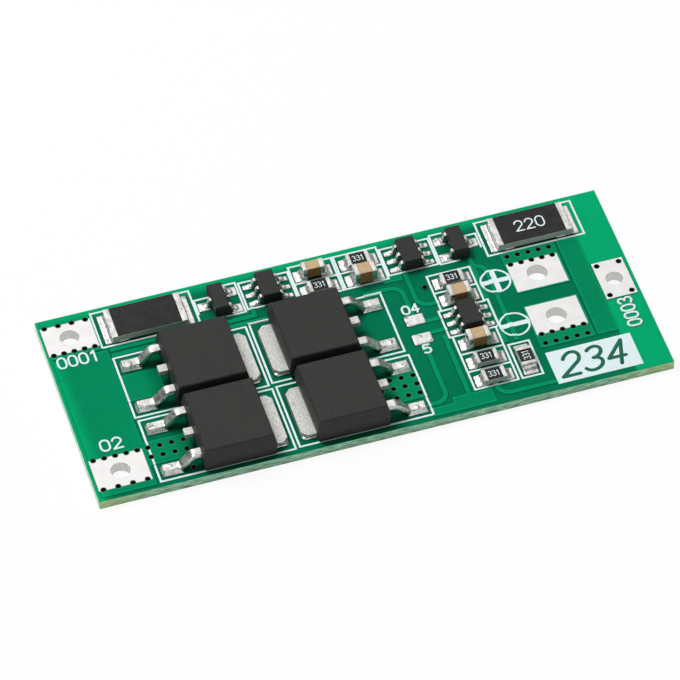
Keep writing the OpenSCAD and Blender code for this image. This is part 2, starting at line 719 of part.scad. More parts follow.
module fet_frame_shape() {
    corner = 0.45;
    half_w = fet_tab_w / 2;
    linear_extrude(fet_frame_t) polygon([
        [fet_paddle_x, -half_w], [fet_tab_end - corner, -half_w], [fet_tab_end, -half_w + corner],
        [fet_tab_end, half_w - corner], [fet_tab_end - corner, half_w], [fet_paddle_x, half_w]
    ]);
    // The neck climbs inside the case from the paddle to the cropped middle lead
    stub_x = -fet_l / 2 - fet_stub_out;
    bottom = fet_lead_z - fet_frame_t / 2;
    top = fet_lead_z + fet_frame_t / 2;
    rotate([90, 0, 0]) linear_extrude(fet_lead_w, center = true) polygon([
        [fet_paddle_x + 0.3, 0], [fet_paddle_x + 0.3, fet_frame_t], [fet_paddle_x - 0.25, top],
        [stub_x, top], [stub_x, bottom], [fet_paddle_x - 0.45, bottom], [fet_paddle_x, 0]
    ]);
}

module fet_leads_shape() {
    wing = gull_wing(fet_lead_out, fet_inside, fet_lead_z, fet_frame_t, 0.45, 0.5, 45);
    for (y = [-1, 1]) on_side(-1, fet_l / 2, y * fet_lead_pitch) gull_wing_lead(wing, fet_lead_w);
}

module fet_case(f) {
    color("#3c3a39") fet_place(f) difference() {
        moulded_case(fet_l, fet_w, fet_h, fet_lead_z, 0.22, 0.1, 0.08);
        fet_frame_shape();
        fet_leads_shape();
    }
}

module fet_frame(f) {
    color("#d3d2cf") fet_place(f) fet_frame_shape();
}

module fet_leads(f) {
    color("#d9d8d5") fet_place(f) fet_leads_shape();
}

// ---- Small cases ----

sot_inside = 0.25;
sot_lead_z = 0.66;

module sot_lead_shapes(half_l, sides) {
    wing = gull_wing(sot_lead_out, sot_inside, sot_lead_z, sot_lead_t, 0.06, 0.1, 70);
    for (lead = sides) on_side(lead[0], half_l, lead[1]) gull_wing_lead(wing, sot_lead_w);
}

function sot3_leads_at(p) = [for (side = [-1, 1], y = sot3_lead_y(side, p)) [side, y]];
SOT6_LEADS_AT = [for (side = [-1, 1], k = [-1 : 1]) [side, k * sot_lead_pitch]];

module sot_case(p, l, h, leads_at) {
    color("#3a3837") translate([p[0], p[1], z_seat]) difference() {
        translate([0, 0, 0.08]) moulded_case(l, sot_w, h - 0.08, sot_lead_z - 0.08, 0.07, 0.09, 0.05);
        sot_lead_shapes(l / 2, leads_at);
    }
}

module sot_leads(p, l, leads_at) {
    color("#d9d8d5") translate([p[0], p[1], z_seat]) sot_lead_shapes(l / 2, leads_at);
}

// ---- Chip resistors and capacitors ----

module resistor_core(l, w, h) {
    translate([0, 0, end_cap_t + (h - 2 * end_cap_t) / 2])
        cube([l - 2 * end_cap_t, w, h - 2 * end_cap_t], center = true);
}

module resistor_ends(l, w, h, cap_l) {
    for (s = [-1, 1]) difference() {
        translate([s * (l / 2 - cap_l / 2), 0, 0]) soft_block(cap_l, w, h, end_cap_t);
        translate([0, 0, h / 2]) cube([l - 2 * end_cap_t, w + 1, h - 2 * end_cap_t], center = true);
    }
}

module resistor_coat(l, w, h, cap_l) {
    translate([0, 0, h - end_cap_t + coat_t / 2]) cube([l - 2 * cap_l, w - 0.06, coat_t], center = true);
}

module chip_place(p) {
    translate([p[0], p[1], z_seat]) rotate(p[2]) children();
}

module capacitor_core_shape(w, h) {
    translate([0, 0, end_cap_t]) soft_block(chip_l - 2 * end_cap_t, w - 2 * end_cap_t, h - 2 * end_cap_t, 0.05);
}

module capacitor_core(p) {
    color("#c9a676") translate([p[0], p[1], z_seat]) capacitor_core_shape(p[2], p[3]);
}

module capacitor_ends(p) {
    color("#dcdad6") translate([p[0], p[1], z_seat]) for (s = [-1, 1]) difference() {
        translate([s * (chip_l / 2 - cap_cap_l / 2), 0, 0]) soft_block(cap_cap_l, p[2], p[3], 0.08);
        capacitor_core_shape(p[2], p[3]);
    }
}

// ---- Solder ----

// A hollow fillet that climbs a wall at x = 0: its run along +X and its rise
function fillet(run, rise) = let (n = rise < 0.25 ? 3 : 5) concat(
    [[0, 0]],
    [for (k = [0 : n]) let (a = 90 * k / n) [run * (1 - sin(a)), rise * (1 - cos(a))]]
);
module solder_fillet(x, y, angle, length, run, rise) {
    translate([x, y, z_seat]) rotate(angle) rotate([90, 0, 0]) linear_extrude(length, center = true)
        polygon(fillet(run, rise));
}

// A fillet along the toe of a foot that points along the side's sign of X
module toe_solder(x_toe, y, side, foot_w, run, rise) {
    solder_fillet(x_toe, y, side > 0 ? 0 : 180, foot_w, run, rise);
}

// Fillets along both sides of a foot, with a toe wide enough to run into them
module foot_solder(x_toe, y, side, foot_l, foot_w, toe_run, side_run, rise) {
    toe_solder(x_toe, y, side, foot_w + side_run, toe_run, rise);
    for (s = [-1, 1])
        solder_fillet(x_toe - side * foot_l / 2, y + s * foot_w / 2, s * 90, foot_l, side_run, rise);
}

module fet_solder(f) {
    for (s = [-1, 1])
        foot_solder(f[0] - f[2] * fet_tip, f[1] + s * fet_lead_pitch, -f[2], 1.15, fet_lead_w,
            fet_pad_margin, fet_pad_margin, 0.3);
}

module sot3_solder(p) {
    for (lead = sot3_leads_at(p))
        foot_solder(p[0] + lead[0] * (sot3_l / 2 + sot_lead_out), p[1] + lead[1], lead[0], 0.2, sot_lead_w,
            sot_pad_out, (sot3_pad_w - sot_lead_w) / 2, sot_lead_t);
}

module sot6_solder(p) {
    for (lead = SOT6_LEADS_AT)
        toe_solder(p[0] + lead[0] * (sot6_l / 2 + sot_lead_out), p[1] + lead[1], lead[0], sot_lead_w,
            sot_pad_out, sot_lead_t);
}

module end_solder(p, angle, l, w, out, rise) {
    for (turn = [0, 180])
        translate([p[0], p[1], 0]) rotate(angle + turn) solder_fillet(l / 2, 0, 0, w, out, rise);
}

module solder_joints() {
    color("#dddbd7") {
        translate([0, 0, z_copper_top]) linear_extrude(solder_t) pads_2d();
        for (f = FETS) fet_solder(f);
        for (p = SHUNTS) end_solder(p, 0, shunt_l, shunt_w - 0.1, shunt_pad_out, shunt_h * 0.7);
        for (p = SOT3S) sot3_solder(p);
        for (p = SOT6S) sot6_solder(p);
        for (p = CAPS) end_solder(p, 0, chip_l, p[2] - 0.1, chip_pad_out, 0.5);
        for (p = CHIPS) end_solder(p, p[2], chip_l, chip_w - 0.1, chip_pad_out, chip_h * 0.8);
    }
}

// ---- Nodes ----

module chip_resistor_coats() {
    color("#2e2c2b") for (p = CHIPS) chip_place(p) resistor_coat(chip_l, chip_w, chip_h, chip_cap_l);
}

pcb_laminate();
copper_layers();
solder_mask_top();
solder_mask_bottom();
white_print();
solder_joints();
chip_resistor_coats();
for (k = [0 : 4]) terminal(TERMINALS[k]);
for (k = [0 : 3]) {
    fet_case(FETS[k]);
    fet_frame(FETS[k]);
    fet_leads(FETS[k]);
    capacitor_core(CAPS[k]);
    capacitor_ends(CAPS[k]);
}
for (k = [0 : 1]) {
    color("#cfd3ca") translate([SHUNTS[k][0], SHUNTS[k][1], z_seat]) resistor_core(shunt_l, shunt_w, shunt_h);
    color("#383635") translate([SHUNTS[k][0], SHUNTS[k][1], z_seat])
            resistor_coat(shunt_l, shunt_w, shunt_h, shunt_cap_l);
    color("#dcdad6") translate([SHUNTS[k][0], SHUNTS[k][1], z_seat])
            resistor_ends(shunt_l, shunt_w, shunt_h, shunt_cap_l);
    sot_case(SOT3S[k], sot3_l, sot3_h, sot3_leads_at(SOT3S[k]));
    sot_leads(SOT3S[k], sot3_l, sot3_leads_at(SOT3S[k]));
}
for (k = [0 : 2]) {
    sot_case(SOT6S[k], sot6_l, sot6_h, SOT6_LEADS_AT);
    sot_leads(SOT6S[k], sot6_l, SOT6_LEADS_AT);
}
for (k = [0 : 5]) {
    color("#cfd3ca") chip_place(CHIPS[k]) resistor_core(chip_l, chip_w, chip_h);
    color("#dcdad6") chip_place(CHIPS[k]) resistor_ends(chip_l, chip_w, chip_h, chip_cap_l);
}
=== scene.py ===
"""Finishes, solder, printed numbers and studio for a battery management board.

The board's pieces come from its CAD frame, in metres, and keep their shapes and places.
"""

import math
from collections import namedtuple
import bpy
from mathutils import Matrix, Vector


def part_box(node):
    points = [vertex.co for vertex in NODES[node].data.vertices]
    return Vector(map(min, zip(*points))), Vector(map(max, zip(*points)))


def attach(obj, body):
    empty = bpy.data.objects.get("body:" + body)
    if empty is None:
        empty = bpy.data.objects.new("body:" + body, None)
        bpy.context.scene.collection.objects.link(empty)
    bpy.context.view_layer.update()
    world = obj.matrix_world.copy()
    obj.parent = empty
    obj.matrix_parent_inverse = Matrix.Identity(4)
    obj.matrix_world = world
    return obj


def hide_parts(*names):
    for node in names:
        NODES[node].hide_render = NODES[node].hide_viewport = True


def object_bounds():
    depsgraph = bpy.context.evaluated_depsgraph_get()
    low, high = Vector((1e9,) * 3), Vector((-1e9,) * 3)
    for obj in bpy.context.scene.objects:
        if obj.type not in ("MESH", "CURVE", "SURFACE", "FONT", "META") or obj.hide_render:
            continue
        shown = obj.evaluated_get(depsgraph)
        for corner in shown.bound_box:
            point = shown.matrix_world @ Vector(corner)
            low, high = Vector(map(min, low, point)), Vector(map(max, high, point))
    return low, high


bl_info = {
    "name": "Battery management board",
    "version": (1, 0, 0),
    "blender": (4, 5, 0),
    "location": "View3D > Sidebar > Board",
    "description": "Dresses the CAD frame of a battery management board and lights it",
    "category": "Object",
}

import bmesh
import bpy
from mathutils import Matrix, Vector, noise

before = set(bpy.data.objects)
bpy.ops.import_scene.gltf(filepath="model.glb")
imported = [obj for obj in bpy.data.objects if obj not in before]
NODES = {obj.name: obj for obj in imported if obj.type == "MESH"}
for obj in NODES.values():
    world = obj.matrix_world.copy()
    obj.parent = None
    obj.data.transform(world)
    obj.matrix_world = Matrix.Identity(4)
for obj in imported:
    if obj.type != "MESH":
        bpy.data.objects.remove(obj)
CAD_LOW, CAD_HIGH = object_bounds()

MM = 0.001

BOARD_LOW, BOARD_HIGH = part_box("pcb_laminate")
TOP_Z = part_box("solder_mask_top")[1].z
SEAT_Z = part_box("balance_resistor_1_end_caps")[0].z
# The mask lies lower where no copper is under it
COPPER_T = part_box("solder_joints")[0].z - BOARD_HIGH.z
LOW_Z = TOP_Z - COPPER_T


# ---- Small helpers for nodes, colours and meshes ----

def linear(hex_colour):
    """An sRGB hex colour as the linear RGBA that shaders take."""
    parts = [int(hex_colour[k:k + 2], 16) / 255 for k in (1, 3, 5)]
    return tuple(c / 12.92 if c <= 0.04045 else ((c + 0.055) / 1.055) ** 2.4 for c in parts) + (1.0,)


def per(size_mm):
    """The texture scale at which one feature is that many millimetres wide."""
    return 1 / (size_mm * MM)


def add(tree, kind, sockets=None, **settings):
    """Adds one node with its settings, and fills its inputs, which are given by name or by number.

    An input takes a value, a hex colour, another node's output, or another node, whose first output
    in use is linked.
    """
    made = tree.nodes.new("ShaderNode" + kind)
    for name, value in settings.items():
        setattr(made, name, value)
    in_use = {socket.name: socket for socket in made.inputs if socket.enabled}
    for name, value in (sockets or {}).items():
        socket = made.inputs[name] if isinstance(name, int) else in_use[name]
        if isinstance(value, bpy.types.Node):
            value = next(output for output in value.outputs if output.enabled)
        if isinstance(value, bpy.types.NodeSocket):
            tree.links.new(value, socket)
        else:
            socket.default_value = linear(value) if isinstance(value, str) else value
    return made


def new_material(name):
    """An empty node material with its node tree and its object coordinates."""
    material = bpy.data.materials.new(name)
    material.use_nodes = True
    tree = material.node_tree
    tree.nodes.clear()
    return material, tree, add(tree, "TexCoord").outputs["Object"]


def dress(material, *names):
    """Puts one material on CAD nodes."""
    for name in names:
        slots = NODES[name].data.materials
        slots.clear()
        slots.append(material)


def like(*endings):
    """The CAD nodes whose names end in one of these words."""
    return sorted(name for name in NODES if name.endswith(endings))


def new_piece(name, mesh, material):
    """A finished piece that rides on the board's one body."""
    piece = bpy.data.objects.new(name, mesh)
    bpy.context.scene.collection.objects.link(piece)
    mesh.materials.append(material)
    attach(piece, "root")
    return piece


# ---- Settings ----

class BoardSettings(bpy.types.PropertyGroup):
    """Colours of the bare board."""

    mask_on_copper: bpy.props.StringProperty(
        name="Mask over copper", description="Solder mask colour where copper lies under it",
        default="#02875A")
    mask_on_laminate: bpy.props.StringProperty(
        name="Mask over laminate", description="Solder mask colour over laminate with copper behind it",
        default="#017350")
    mask_backlit: bpy.props.StringProperty(
        name="Mask over clear laminate", description="Solder mask colour where no copper stops the light",
        default="#02A76D")
    ink: bpy.props.StringProperty(
        name="Print", description="Colour of the screen-printed ink", default="#E5F4F8")
    copper_edge: bpy.props.FloatProperty(
        name="Bare rim", description="Width of the rim without copper on the underside",
        default=0.35 * MM, min=0, unit="LENGTH")
    tap_gap: bpy.props.FloatProperty(
        name="Gap at the cell tap", description="Distance from the copper behind the laminate to the cell tap",
        default=0.175 * MM, min=0, unit="LENGTH")


class SolderSettings(bpy.types.PropertyGroup):
    """Shape of the reflowed solder."""

    step: bpy.props.FloatProperty(
        name="Mesh step", description="Distance between the points of the solder's surface",
        default=0.05 * MM, min=0.02 * MM, unit="LENGTH")
    corner: bpy.props.FloatProperty(
        name="Corner radius", description="Rounding of a pad's corners",
        default=0.1 * MM, min=0, unit="LENGTH")
    rim: bpy.props.FloatProperty(
        name="Rim", description="Width over which the solder thins at a pad's edge",
        default=0.07 * MM, min=0, unit="LENGTH")


class NumberSettings(bpy.types.PropertyGroup):
    """Plain numbers in the places for print."""

    height: bpy.props.FloatProperty(
        name="Digit height", description="Height of the digits beside the terminals",
        default=1.3 * MM, unit="LENGTH")
    pen: bpy.props.FloatProperty(
        name="Pen width", description="Width of the strokes beside the terminals",
        default=0.17 * MM, unit="LENGTH")
    jumper_height: bpy.props.FloatProperty(
        name="Jumper digit height", description="Height of the digits beside the jumper pads",
        default=1.05 * MM, unit="LENGTH")
    code_height: bpy.props.FloatProperty(
        name="Code height", description="Height of the digits on a chip resistor",
        default=0.62 * MM, unit="LENGTH")
    code_pen: bpy.props.FloatProperty(
        name="Code pen", description="Width of the strokes on a chip resistor",
        default=0.065 * MM, unit="LENGTH")
    value_height: bpy.props.FloatProperty(
        name="Value height", description="Height of the digits on a balance resistor",
        default=1.25 * MM, unit="LENGTH")
    value_pen: bpy.props.FloatProperty(
        name="Value pen", description="Width of the strokes on a balance resistor",
        default=0.13 * MM, unit="LENGTH")
    field_height: bpy.props.FloatProperty(
        name="Field digit height", description="Height of the digits left open in the solid field",
        default=2.75 * MM, unit="LENGTH")
    field_pen: bpy.props.FloatProperty(
        name="Field pen", description="Width of the strokes left open in the solid field",
        default=0.33 * MM, unit="LENGTH")


class StageSettings(bpy.types.PropertyGroup):
    """Camera, lamps and floor."""

    lens: bpy.props.FloatProperty(
        name="Focal length", description="Focal length of the camera", default=281.34155, unit="CAMERA")
    camera_place: bpy.props.FloatVectorProperty(
        name="Camera", description="Place of the camera", subtype="XYZ", unit="LENGTH",
        default=(-0.07849127, -0.27635577, 0.32054511))
    camera_turn: bpy.props.FloatVectorProperty(
        name="Turn", description="Rotation of the camera", subtype="EULER",
        default=tuple(math.radians(a) for a in (41.965004, 1.197610, -16.982588)))
    key_power: bpy.props.FloatProperty(
        name="Key lamp", description="Power of the key lamp", default=2.05, min=0, unit="POWER")
    softbox_power: bpy.props.FloatProperty(
        name="Softbox", description="Power of the softbox behind the board", default=0.58, min=0, unit="POWER")
    fill_power: bpy.props.FloatProperty(
        name="Fill lamp", description="Power of the fill lamp in front", default=0.62, min=0, unit="POWER")
    world_level: bpy.props.FloatProperty(
        name="Room light", description="Brightness of the room's even light", default=0.15, min=0)


# ---- Materials ----

# Noise runs from 0 to 1, and most of it lies in this range
NOISE = {"From Min": 0.3, "From Max": 0.7}


def solder_mask():
    """Liquid photoimageable solder mask: a curtain-coated epoxy film, smooth and half glossy.

    The film is thin, so copper under it makes it lighter and bare laminate lets it go dark; where light
    comes through the board, that light is painted into its colour. Slight waves keep its shine from being even.
    """
    material, tree, place = new_material("solder_mask")
    board = bpy.context.scene.board_settings
    axes = add(tree, "SeparateXYZ", {"Vector": place}).outputs
    above = add(tree, "MapRange", {
        "Value": axes["Z"], "From Min": LOW_Z + 0.03 * COPPER_T, "From Max": LOW_Z + 0.15 * COPPER_T})
    below = add(tree, "MapRange", {
        "Value": axes["Z"], "From Min": 0.6 * COPPER_T, "From Max": 0.3 * COPPER_T})
    on_copper = add(tree, "Math", {0: above, 1: below}, operation="MAXIMUM")
    # Copper behind the laminate reaches from the left rim to the cell tap. Past it, light that comes through
    # the board is painted into the mask's colour: sharply at the cell tap, and softly along the left and back
    # edges.
    tap_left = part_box("cell_tap_terminal")[0].x - board.tap_gap
    left, back = BOARD_LOW.x + board.copper_edge, BOARD_HIGH.y - board.copper_edge
    clear = 0.0
    for axis, dark, lit in (
            ("X", tap_left - 0.06 * MM, tap_left + 0.06 * MM),
            ("X", left + 0.9 * MM, left - 0.25 * MM),
            ("Y", back - 0.75 * MM, back + 0.1 * MM)):
        painted_glow = add(tree, "MapRange", {"Value": axes[axis], "From Min": dark, "From Max": lit})
        clear = add(tree, "Math", {0: clear, 1: painted_glow}, operation="MAXIMUM")
    # Painted highlight: the mask is painted lighter where its rounded normal tilts over the copper's edges, so
    # narrow tracks look lighter than wide areas
    rounded = add(tree, "Bevel", {"Radius": 0.2 * MM}, samples=8)
    upright = add(tree, "SeparateXYZ", {"Vector": rounded}).outputs["Z"]
    upright = add(tree, "Math", {0: upright}, operation="ABSOLUTE")
    thin = add(tree, "MapRange", {
        "Value": upright, "From Min": 0.8, "From Max": 0.99, "To Min": 0.75, "To Max": 0})
    thin = add(tree, "Math", {0: thin, 1: on_copper}, operation="MULTIPLY")
    colour = board.mask_on_laminate
    # The last tone mixed in is the painted highlight on the copper's edges
    for share, tone in ((on_copper, board.mask_on_copper), (clear, board.mask_backlit), (thin, "#0CAE7C")):
        colour = add(tree, "Mix", {"Factor": share, "A": colour, "B": tone}, data_type="RGBA")
    # Pigment drifts in patches some 4 mm wide, and the glass weave shows faintly at 0.5 mm
    cloud = add(tree, "TexNoise", {"Vector": place, "Scale": per(4), "Detail": 3})
    cloud = add(tree, "MapRange", {**NOISE, "Value": cloud, "To Min": 0.95, "To Max": 1.05})
    weave = add(tree, "TexNoise", {"Vector": place, "Scale": per(0.5), "Detail": 1})
    weave = add(tree, "MapRange", {**NOISE, "Value": weave, "To Min": 0.97, "To Max": 1.03})
    # Painted shade: the mask is darkened where parts stand close, by the ambient occlusion it finds within 2 mm
    openness = add(tree, "AmbientOcclusion", {"Distance": 2 * MM}, samples=8).outputs["AO"]
    painted_contact_shade = add(tree, "MapRange", {
        "Value": openness, "From Min": 0.4, "From Max": 0.93, "To Min": 0.45, "To Max": 1})
    shade = add(tree, "Math", {0: cloud, 1: weave}, operation="MULTIPLY")
    shade = add(tree, "Math", {0: shade, 1: painted_contact_shade}, operation="MULTIPLY")
    shade = add(tree, "CombineColor", {"Red": shade, "Green": shade, "Blue": shade})
    colour = add(tree, "Mix", {"Factor": 1.0, "A": colour, "B": shade}, data_type="RGBA", blend_type="MULTIPLY")
    # Painted light: the steep shoulders emit the mask's colour, standing in for light that travels inside the
    # film
    facing = add(tree, "NewGeometry").outputs["True Normal"]
    shoulder = add(tree, "SeparateXYZ", {"Vector": facing}).outputs["Z"]
    shoulder = add(tree, "Math", {0: shoulder}, operation="ABSOLUTE")
    painted_glow = add(tree, "MapRange", {
        "Value": shoulder, "From Min": 0.3, "From Max": 0.9, "To Min": 0.6, "To Max": 0})
    gloss = add(tree, "TexNoise", {"Vector": place, "Scale": per(1.5)})
    gloss = add(tree, "MapRange", {**NOISE, "Value": gloss, "To Min": 0.26, "To Max": 0.36})
    wave = add(tree, "TexNoise", {"Vector": place, "Scale": per(0.35)})
    edge = add(tree, "Bevel", {"Radius": 0.1 * MM}, samples=6)
    shader = add(tree, "BsdfPrincipled", {
        "Base Color": colour, "Emission Color": colour, "Emission Strength": painted_glow, "Roughness": gloss,
        "IOR": 1.5, "Specular IOR Level": 0.06, "Specular Tint": "#12B487",
        "Normal": add(tree, "Bump", {"Height": wave, "Distance": 0.004 * MM, "Normal": edge})})
    add(tree, "OutputMaterial", {"Surface": shader})
    return material


def glass_laminate():
    """Glass-fibre epoxy laminate with sawn edges: pale yellow-green, matte and a little see-through.

    The cut shows the flat layers of glass cloth as fine streaks along the edge.
    """
    material, tree, place = new_material("glass_laminate")
    along = add(tree, "Mapping", {"Vector": place, "Scale": (1 / 7, 1 / 7, 1)})
    layers = add(tree, "TexNoise", {"Vector": along, "Scale": per(0.13), "Detail": 6})
    streak = add(tree, "MapRange", {"Value": layers, "From Min": 0.38, "From Max": 0.62})
    colour = add(tree, "Mix", {"Factor": streak, "A": "#72B491", "B": "#AEEAC9"}, data_type="RGBA")
    # Painted shade: a darker copy of the streaks, mixed in towards the bottom of the edge
    streak = add(tree, "MapRange", {"Value": layers, "From Min": 0.4, "From Max": 0.6})
    painted_low_shade = add(tree, "Mix", {"Factor": streak, "A": "#5C765C", "B": "#BCDAB6"}, data_type="RGBA")
    axes = add(tree, "SeparateXYZ", {"Vector": place}).outputs
    low_down = add(tree, "MapRange", {
        "Value": axes["Z"], "From Min": BOARD_LOW.z, "From Max": BOARD_HIGH.z, "To Min": 0.85, "To Max": 0})
    # Painted light: a pale yellow-green tone near the corners stands in for light inside the board
    off_middle = add(tree, "Math", {0: axes["X"]}, operation="ABSOLUTE")
    painted_corner_light = add(tree, "MapRange", {
        "Value": off_middle, "From Min": BOARD_HIGH.x - 5 * MM, "From Max": BOARD_HIGH.x, "To Max": 0.6})
    # The short sides are milled along the cloth's open ends; they are painted paler, a painted highlight
    facing = add(tree, "NewGeometry").outputs["True Normal"]
    painted_side_light = add(tree, "SeparateXYZ", {"Vector": facing}).outputs["X"]
    painted_side_light = add(tree, "Math", {0: painted_side_light}, operation="ABSOLUTE")
    painted_side_light = add(tree, "MapRange", {"Value": painted_side_light, "From Min": 0.5, "From Max": 0.9, "To Max": 0.8})
    for share, tone in ((low_down, painted_low_shade), (painted_corner_light, "#C9D98C"), (painted_side_light, "#DCEFE2")):
        colour = add(tree, "Mix", {"Factor": share, "A": colour, "B": tone}, data_type="RGBA")
    edge = add(tree, "Bevel", {"Radius": 0.04 * MM}, samples=6)
    shader = add(tree, "BsdfPrincipled", {
        "Base Color": colour, "Roughness": 0.7, "IOR": 1.52, "Specular IOR Level": 0.3,
        "Normal": add(tree, "Bump", {"Height": layers, "Distance": 0.02 * MM, "Normal": edge})})
    add(tree, "OutputMaterial", {"Surface": shader})
    return material


def plated_copper():
    """Rolled copper foil with plated holes: hidden under the mask, tinned on the holes' rims.

    The walls of the small holes are painted near black, painted shade in the deep holes, so that they read as
    dark dots.
    """
    material, tree, place = new_material("plated_copper")
    height = add(tree, "SeparateXYZ", {"Vector": place}).outputs["Z"]
    rim = add(tree, "MapRange", {
        "Value": height, "From Min": TOP_Z - 0.03 * MM, "From Max": TOP_Z - 0.01 * MM})
    stain = add(tree, "TexNoise", {"Vector": place, "Scale": per(0.3)})
    stain = add(tree, "MapRange", {**NOISE, "Value": stain})
    # Painted shade: the hole walls are near black
    wall = add(tree, "Mix", {"Factor": stain, "A": "#14110D", "B": "#3A3026"}, data_type="RGBA")
    shader = add(tree, "BsdfPrincipled", {
        "Base Color": add(tree, "Mix", {"Factor": rim, "A": wall, "B": "#46604F"}, data_type="RGBA"),
        "Metallic": 1.0,
        "Roughness": add(tree, "MapRange", {"Value": rim, "To Min": 0.6, "To Max": 0.35})})
    add(tree, "OutputMaterial", {"Surface": shader})
    return material


def screen_ink():
    """Screen-printed epoxy ink: flat, dull and slightly cool white, with the screen's soft grain."""
    material, tree, place = new_material("screen_ink")
    board = bpy.context.scene.board_settings
    thin = add(tree, "TexNoise", {"Vector": place, "Scale": per(0.22)})
    thin = add(tree, "MapRange", {**NOISE, "Value": thin, "To Max": 0.22})
    screen = add(tree, "TexNoise", {"Vector": place, "Scale": per(0.12)})
    edge = add(tree, "Bevel", {"Radius": 0.02 * MM}, samples=6)
    shader = add(tree, "BsdfPrincipled", {
        "Base Color": add(tree, "Mix", {"Factor": thin, "A": board.ink, "B": "#B4DCCB"}, data_type="RGBA"),
        "Roughness": 0.6, "Specular IOR Level": 0.3,
        "Normal": add(tree, "Bump", {"Height": screen, "Distance": 0.004 * MM, "Normal": edge})})
    add(tree, "OutputMaterial", {"Surface": shader})
    return material


def print_gap():
    """Solder mask seen through gaps in the ink: deeper than the open mask, for the ink's edges shade it."""
    material, tree, place = new_material("print_gap")
    cloud = add(tree, "TexNoise", {"Vector": place, "Scale": per(0.6)})
    cloud = add(tree, "MapRange", {**NOISE, "Value": cloud})
    shader = add(tree, "BsdfPrincipled", {
        "Base Color": add(tree, "Mix", {"Factor": cloud, "A": "#045E44", "B": "#066B4E"}, data_type="RGBA"),
        "Roughness": 0.45, "Specular IOR Level": 0.2})
    add(tree, "OutputMaterial", {"Surface": shader})
    return material


def levelled_tin():
    """Tin levelled by hot air over copper: near white and satin, with slow waves and a fine frost.

    The frost scatters much of the light, so it is shaded as part metal and part white; the barrels
    of the holes keep a clean metal face that mirrors what lies under the board.
    """
    material, tree, place = new_material("levelled_tin")
    frost = add(tree, "TexNoise", {"Vector": place, "Scale": per(0.14), "Detail": 3})
    frost = add(tree, "MapRange", {**NOISE, "Value": frost})
    wave = add(tree, "TexNoise", {"Vector": place, "Scale": per(0.9)})
    cloud = add(tree, "MapRange", {**NOISE, "Value": wave})
    facing = add(tree, "NewGeometry").outputs["True Normal"]
    upright = add(tree, "SeparateXYZ", {"Vector": facing}).outputs["Z"]
    upright = add(tree, "Math", {0: upright}, operation="ABSOLUTE")
    flat = add(tree, "MapRange", {"Value": upright, "From Min": 0.2, "From Max": 0.6})
    land = add(tree, "Mix", {"Factor": cloud, "A": "#E9E7E6", "B": "#F1EFEE"}, data_type="RGBA")
    # Painted shade: the barrels of the holes are a darker grey than the lands
    barrel = add(tree, "Mix", {"Factor": frost, "A": "#B4B4B1", "B": "#C8C7C3"}, data_type="RGBA")
    edge = add(tree, "Bevel", {"Radius": 0.04 * MM}, samples=6)
    shader = add(tree, "BsdfPrincipled", {
        "Base Color": add(tree, "Mix", {"Factor": flat, "A": barrel, "B": land}, data_type="RGBA"),
        "Metallic": add(tree, "MapRange", {"Value": flat, "To Min": 1, "To Max": 0.15}),
        "Roughness": add(tree, "MapRange", {"Value": flat, "To Min": 0.22, "To Max": 0.55}),
        "Normal": add(tree, "Bump", {"Height": wave, "Distance": 0.006 * MM, "Normal": edge})})
    add(tree, "OutputMaterial", {"Surface": shader})
    return material


def reflowed_solder():
    """Lead-free solder, reflowed in an oven: bright, wrinkled as it froze, with dark flux spots."""
    material, tree, place = new_material("reflowed_solder")
    wrinkle = add(tree, "TexNoise", {"Vector": place, "Scale": per(0.34), "Detail": 1, "Distortion": 0.8})
    spot = add(tree, "TexNoise", {"Vector": place, "Scale": per(0.35)})
    tone = add(tree, "MapRange", {**NOISE, "Value": spot})
    flux = add(tree, "TexNoise", {"Vector": place, "Scale": per(0.45), "Detail": 1})
    flux = add(tree, "MapRange", {"Value": flux, "From Min": 0.66, "From Max": 0.72, "To Max": 0.6})
    colour = add(tree, "Mix", {"Factor": tone, "A": "#CFCECA", "B": "#F4F3F0"}, data_type="RGBA")
    shader = add(tree, "BsdfPrincipled", {
        "Base Color": add(tree, "Mix", {"Factor": flux, "A": colour, "B": "#5C5A53"}, data_type="RGBA"),
        "Metallic": 1.0,
        "Roughness": add(tree, "MapRange", {**NOISE, "Value": spot, "To Min": 0.45, "To Max": 0.25}),
        "Normal": add(tree, "Bump", {"Height": wrinkle, "Distance": 0.025 * MM})})
    add(tree, "OutputMaterial", {"Surface": shader})
    return material


def moulding_compound():
    """Black epoxy moulding compound, transfer moulded: charcoal, dull, with the mould's spark-eroded grain.

    Silica grains of some 0.06 mm are drawn at 0.12 mm, as coarse as they need to be to show.
    """
    material, tree, place = new_material("moulding_compound")
    silica = add(tree, "TexNoise", {"Vector": place, "Scale": per(0.12)})
    grain = add(tree, "MapRange", {**NOISE, "Value": silica})
    along = add(tree, "Mapping", {"Vector": place, "Scale": (1, 1 / 3, 1)})
    smear = add(tree, "TexNoise", {"Vector": along, "Scale": per(1.6)})
    wiped = add(tree, "MapRange", {**NOISE, "Value": smear, "To Max": 0.3})
    colour = add(tree, "Mix", {"Factor": grain, "A": "#222221", "B": "#31312F"}, data_type="RGBA")
    edge = add(tree, "Bevel", {"Radius": 0.08 * MM}, samples=6)
    shader = add(tree, "BsdfPrincipled", {
        "Base Color": add(tree, "Mix", {"Factor": wiped, "A": colour, "B": "#3C3C3A"}, data_type="RGBA"),
        "Roughness": add(tree, "MapRange", {**NOISE, "Value": smear, "To Min": 0.5, "To Max": 0.62}),
        "IOR": 1.55, "Specular IOR Level": 0.2,
        "Normal": add(tree, "Bump", {"Height": silica, "Distance": 0.006 * MM, "Normal": edge})})
    add(tree, "OutputMaterial", {"Surface": shader})
    return material


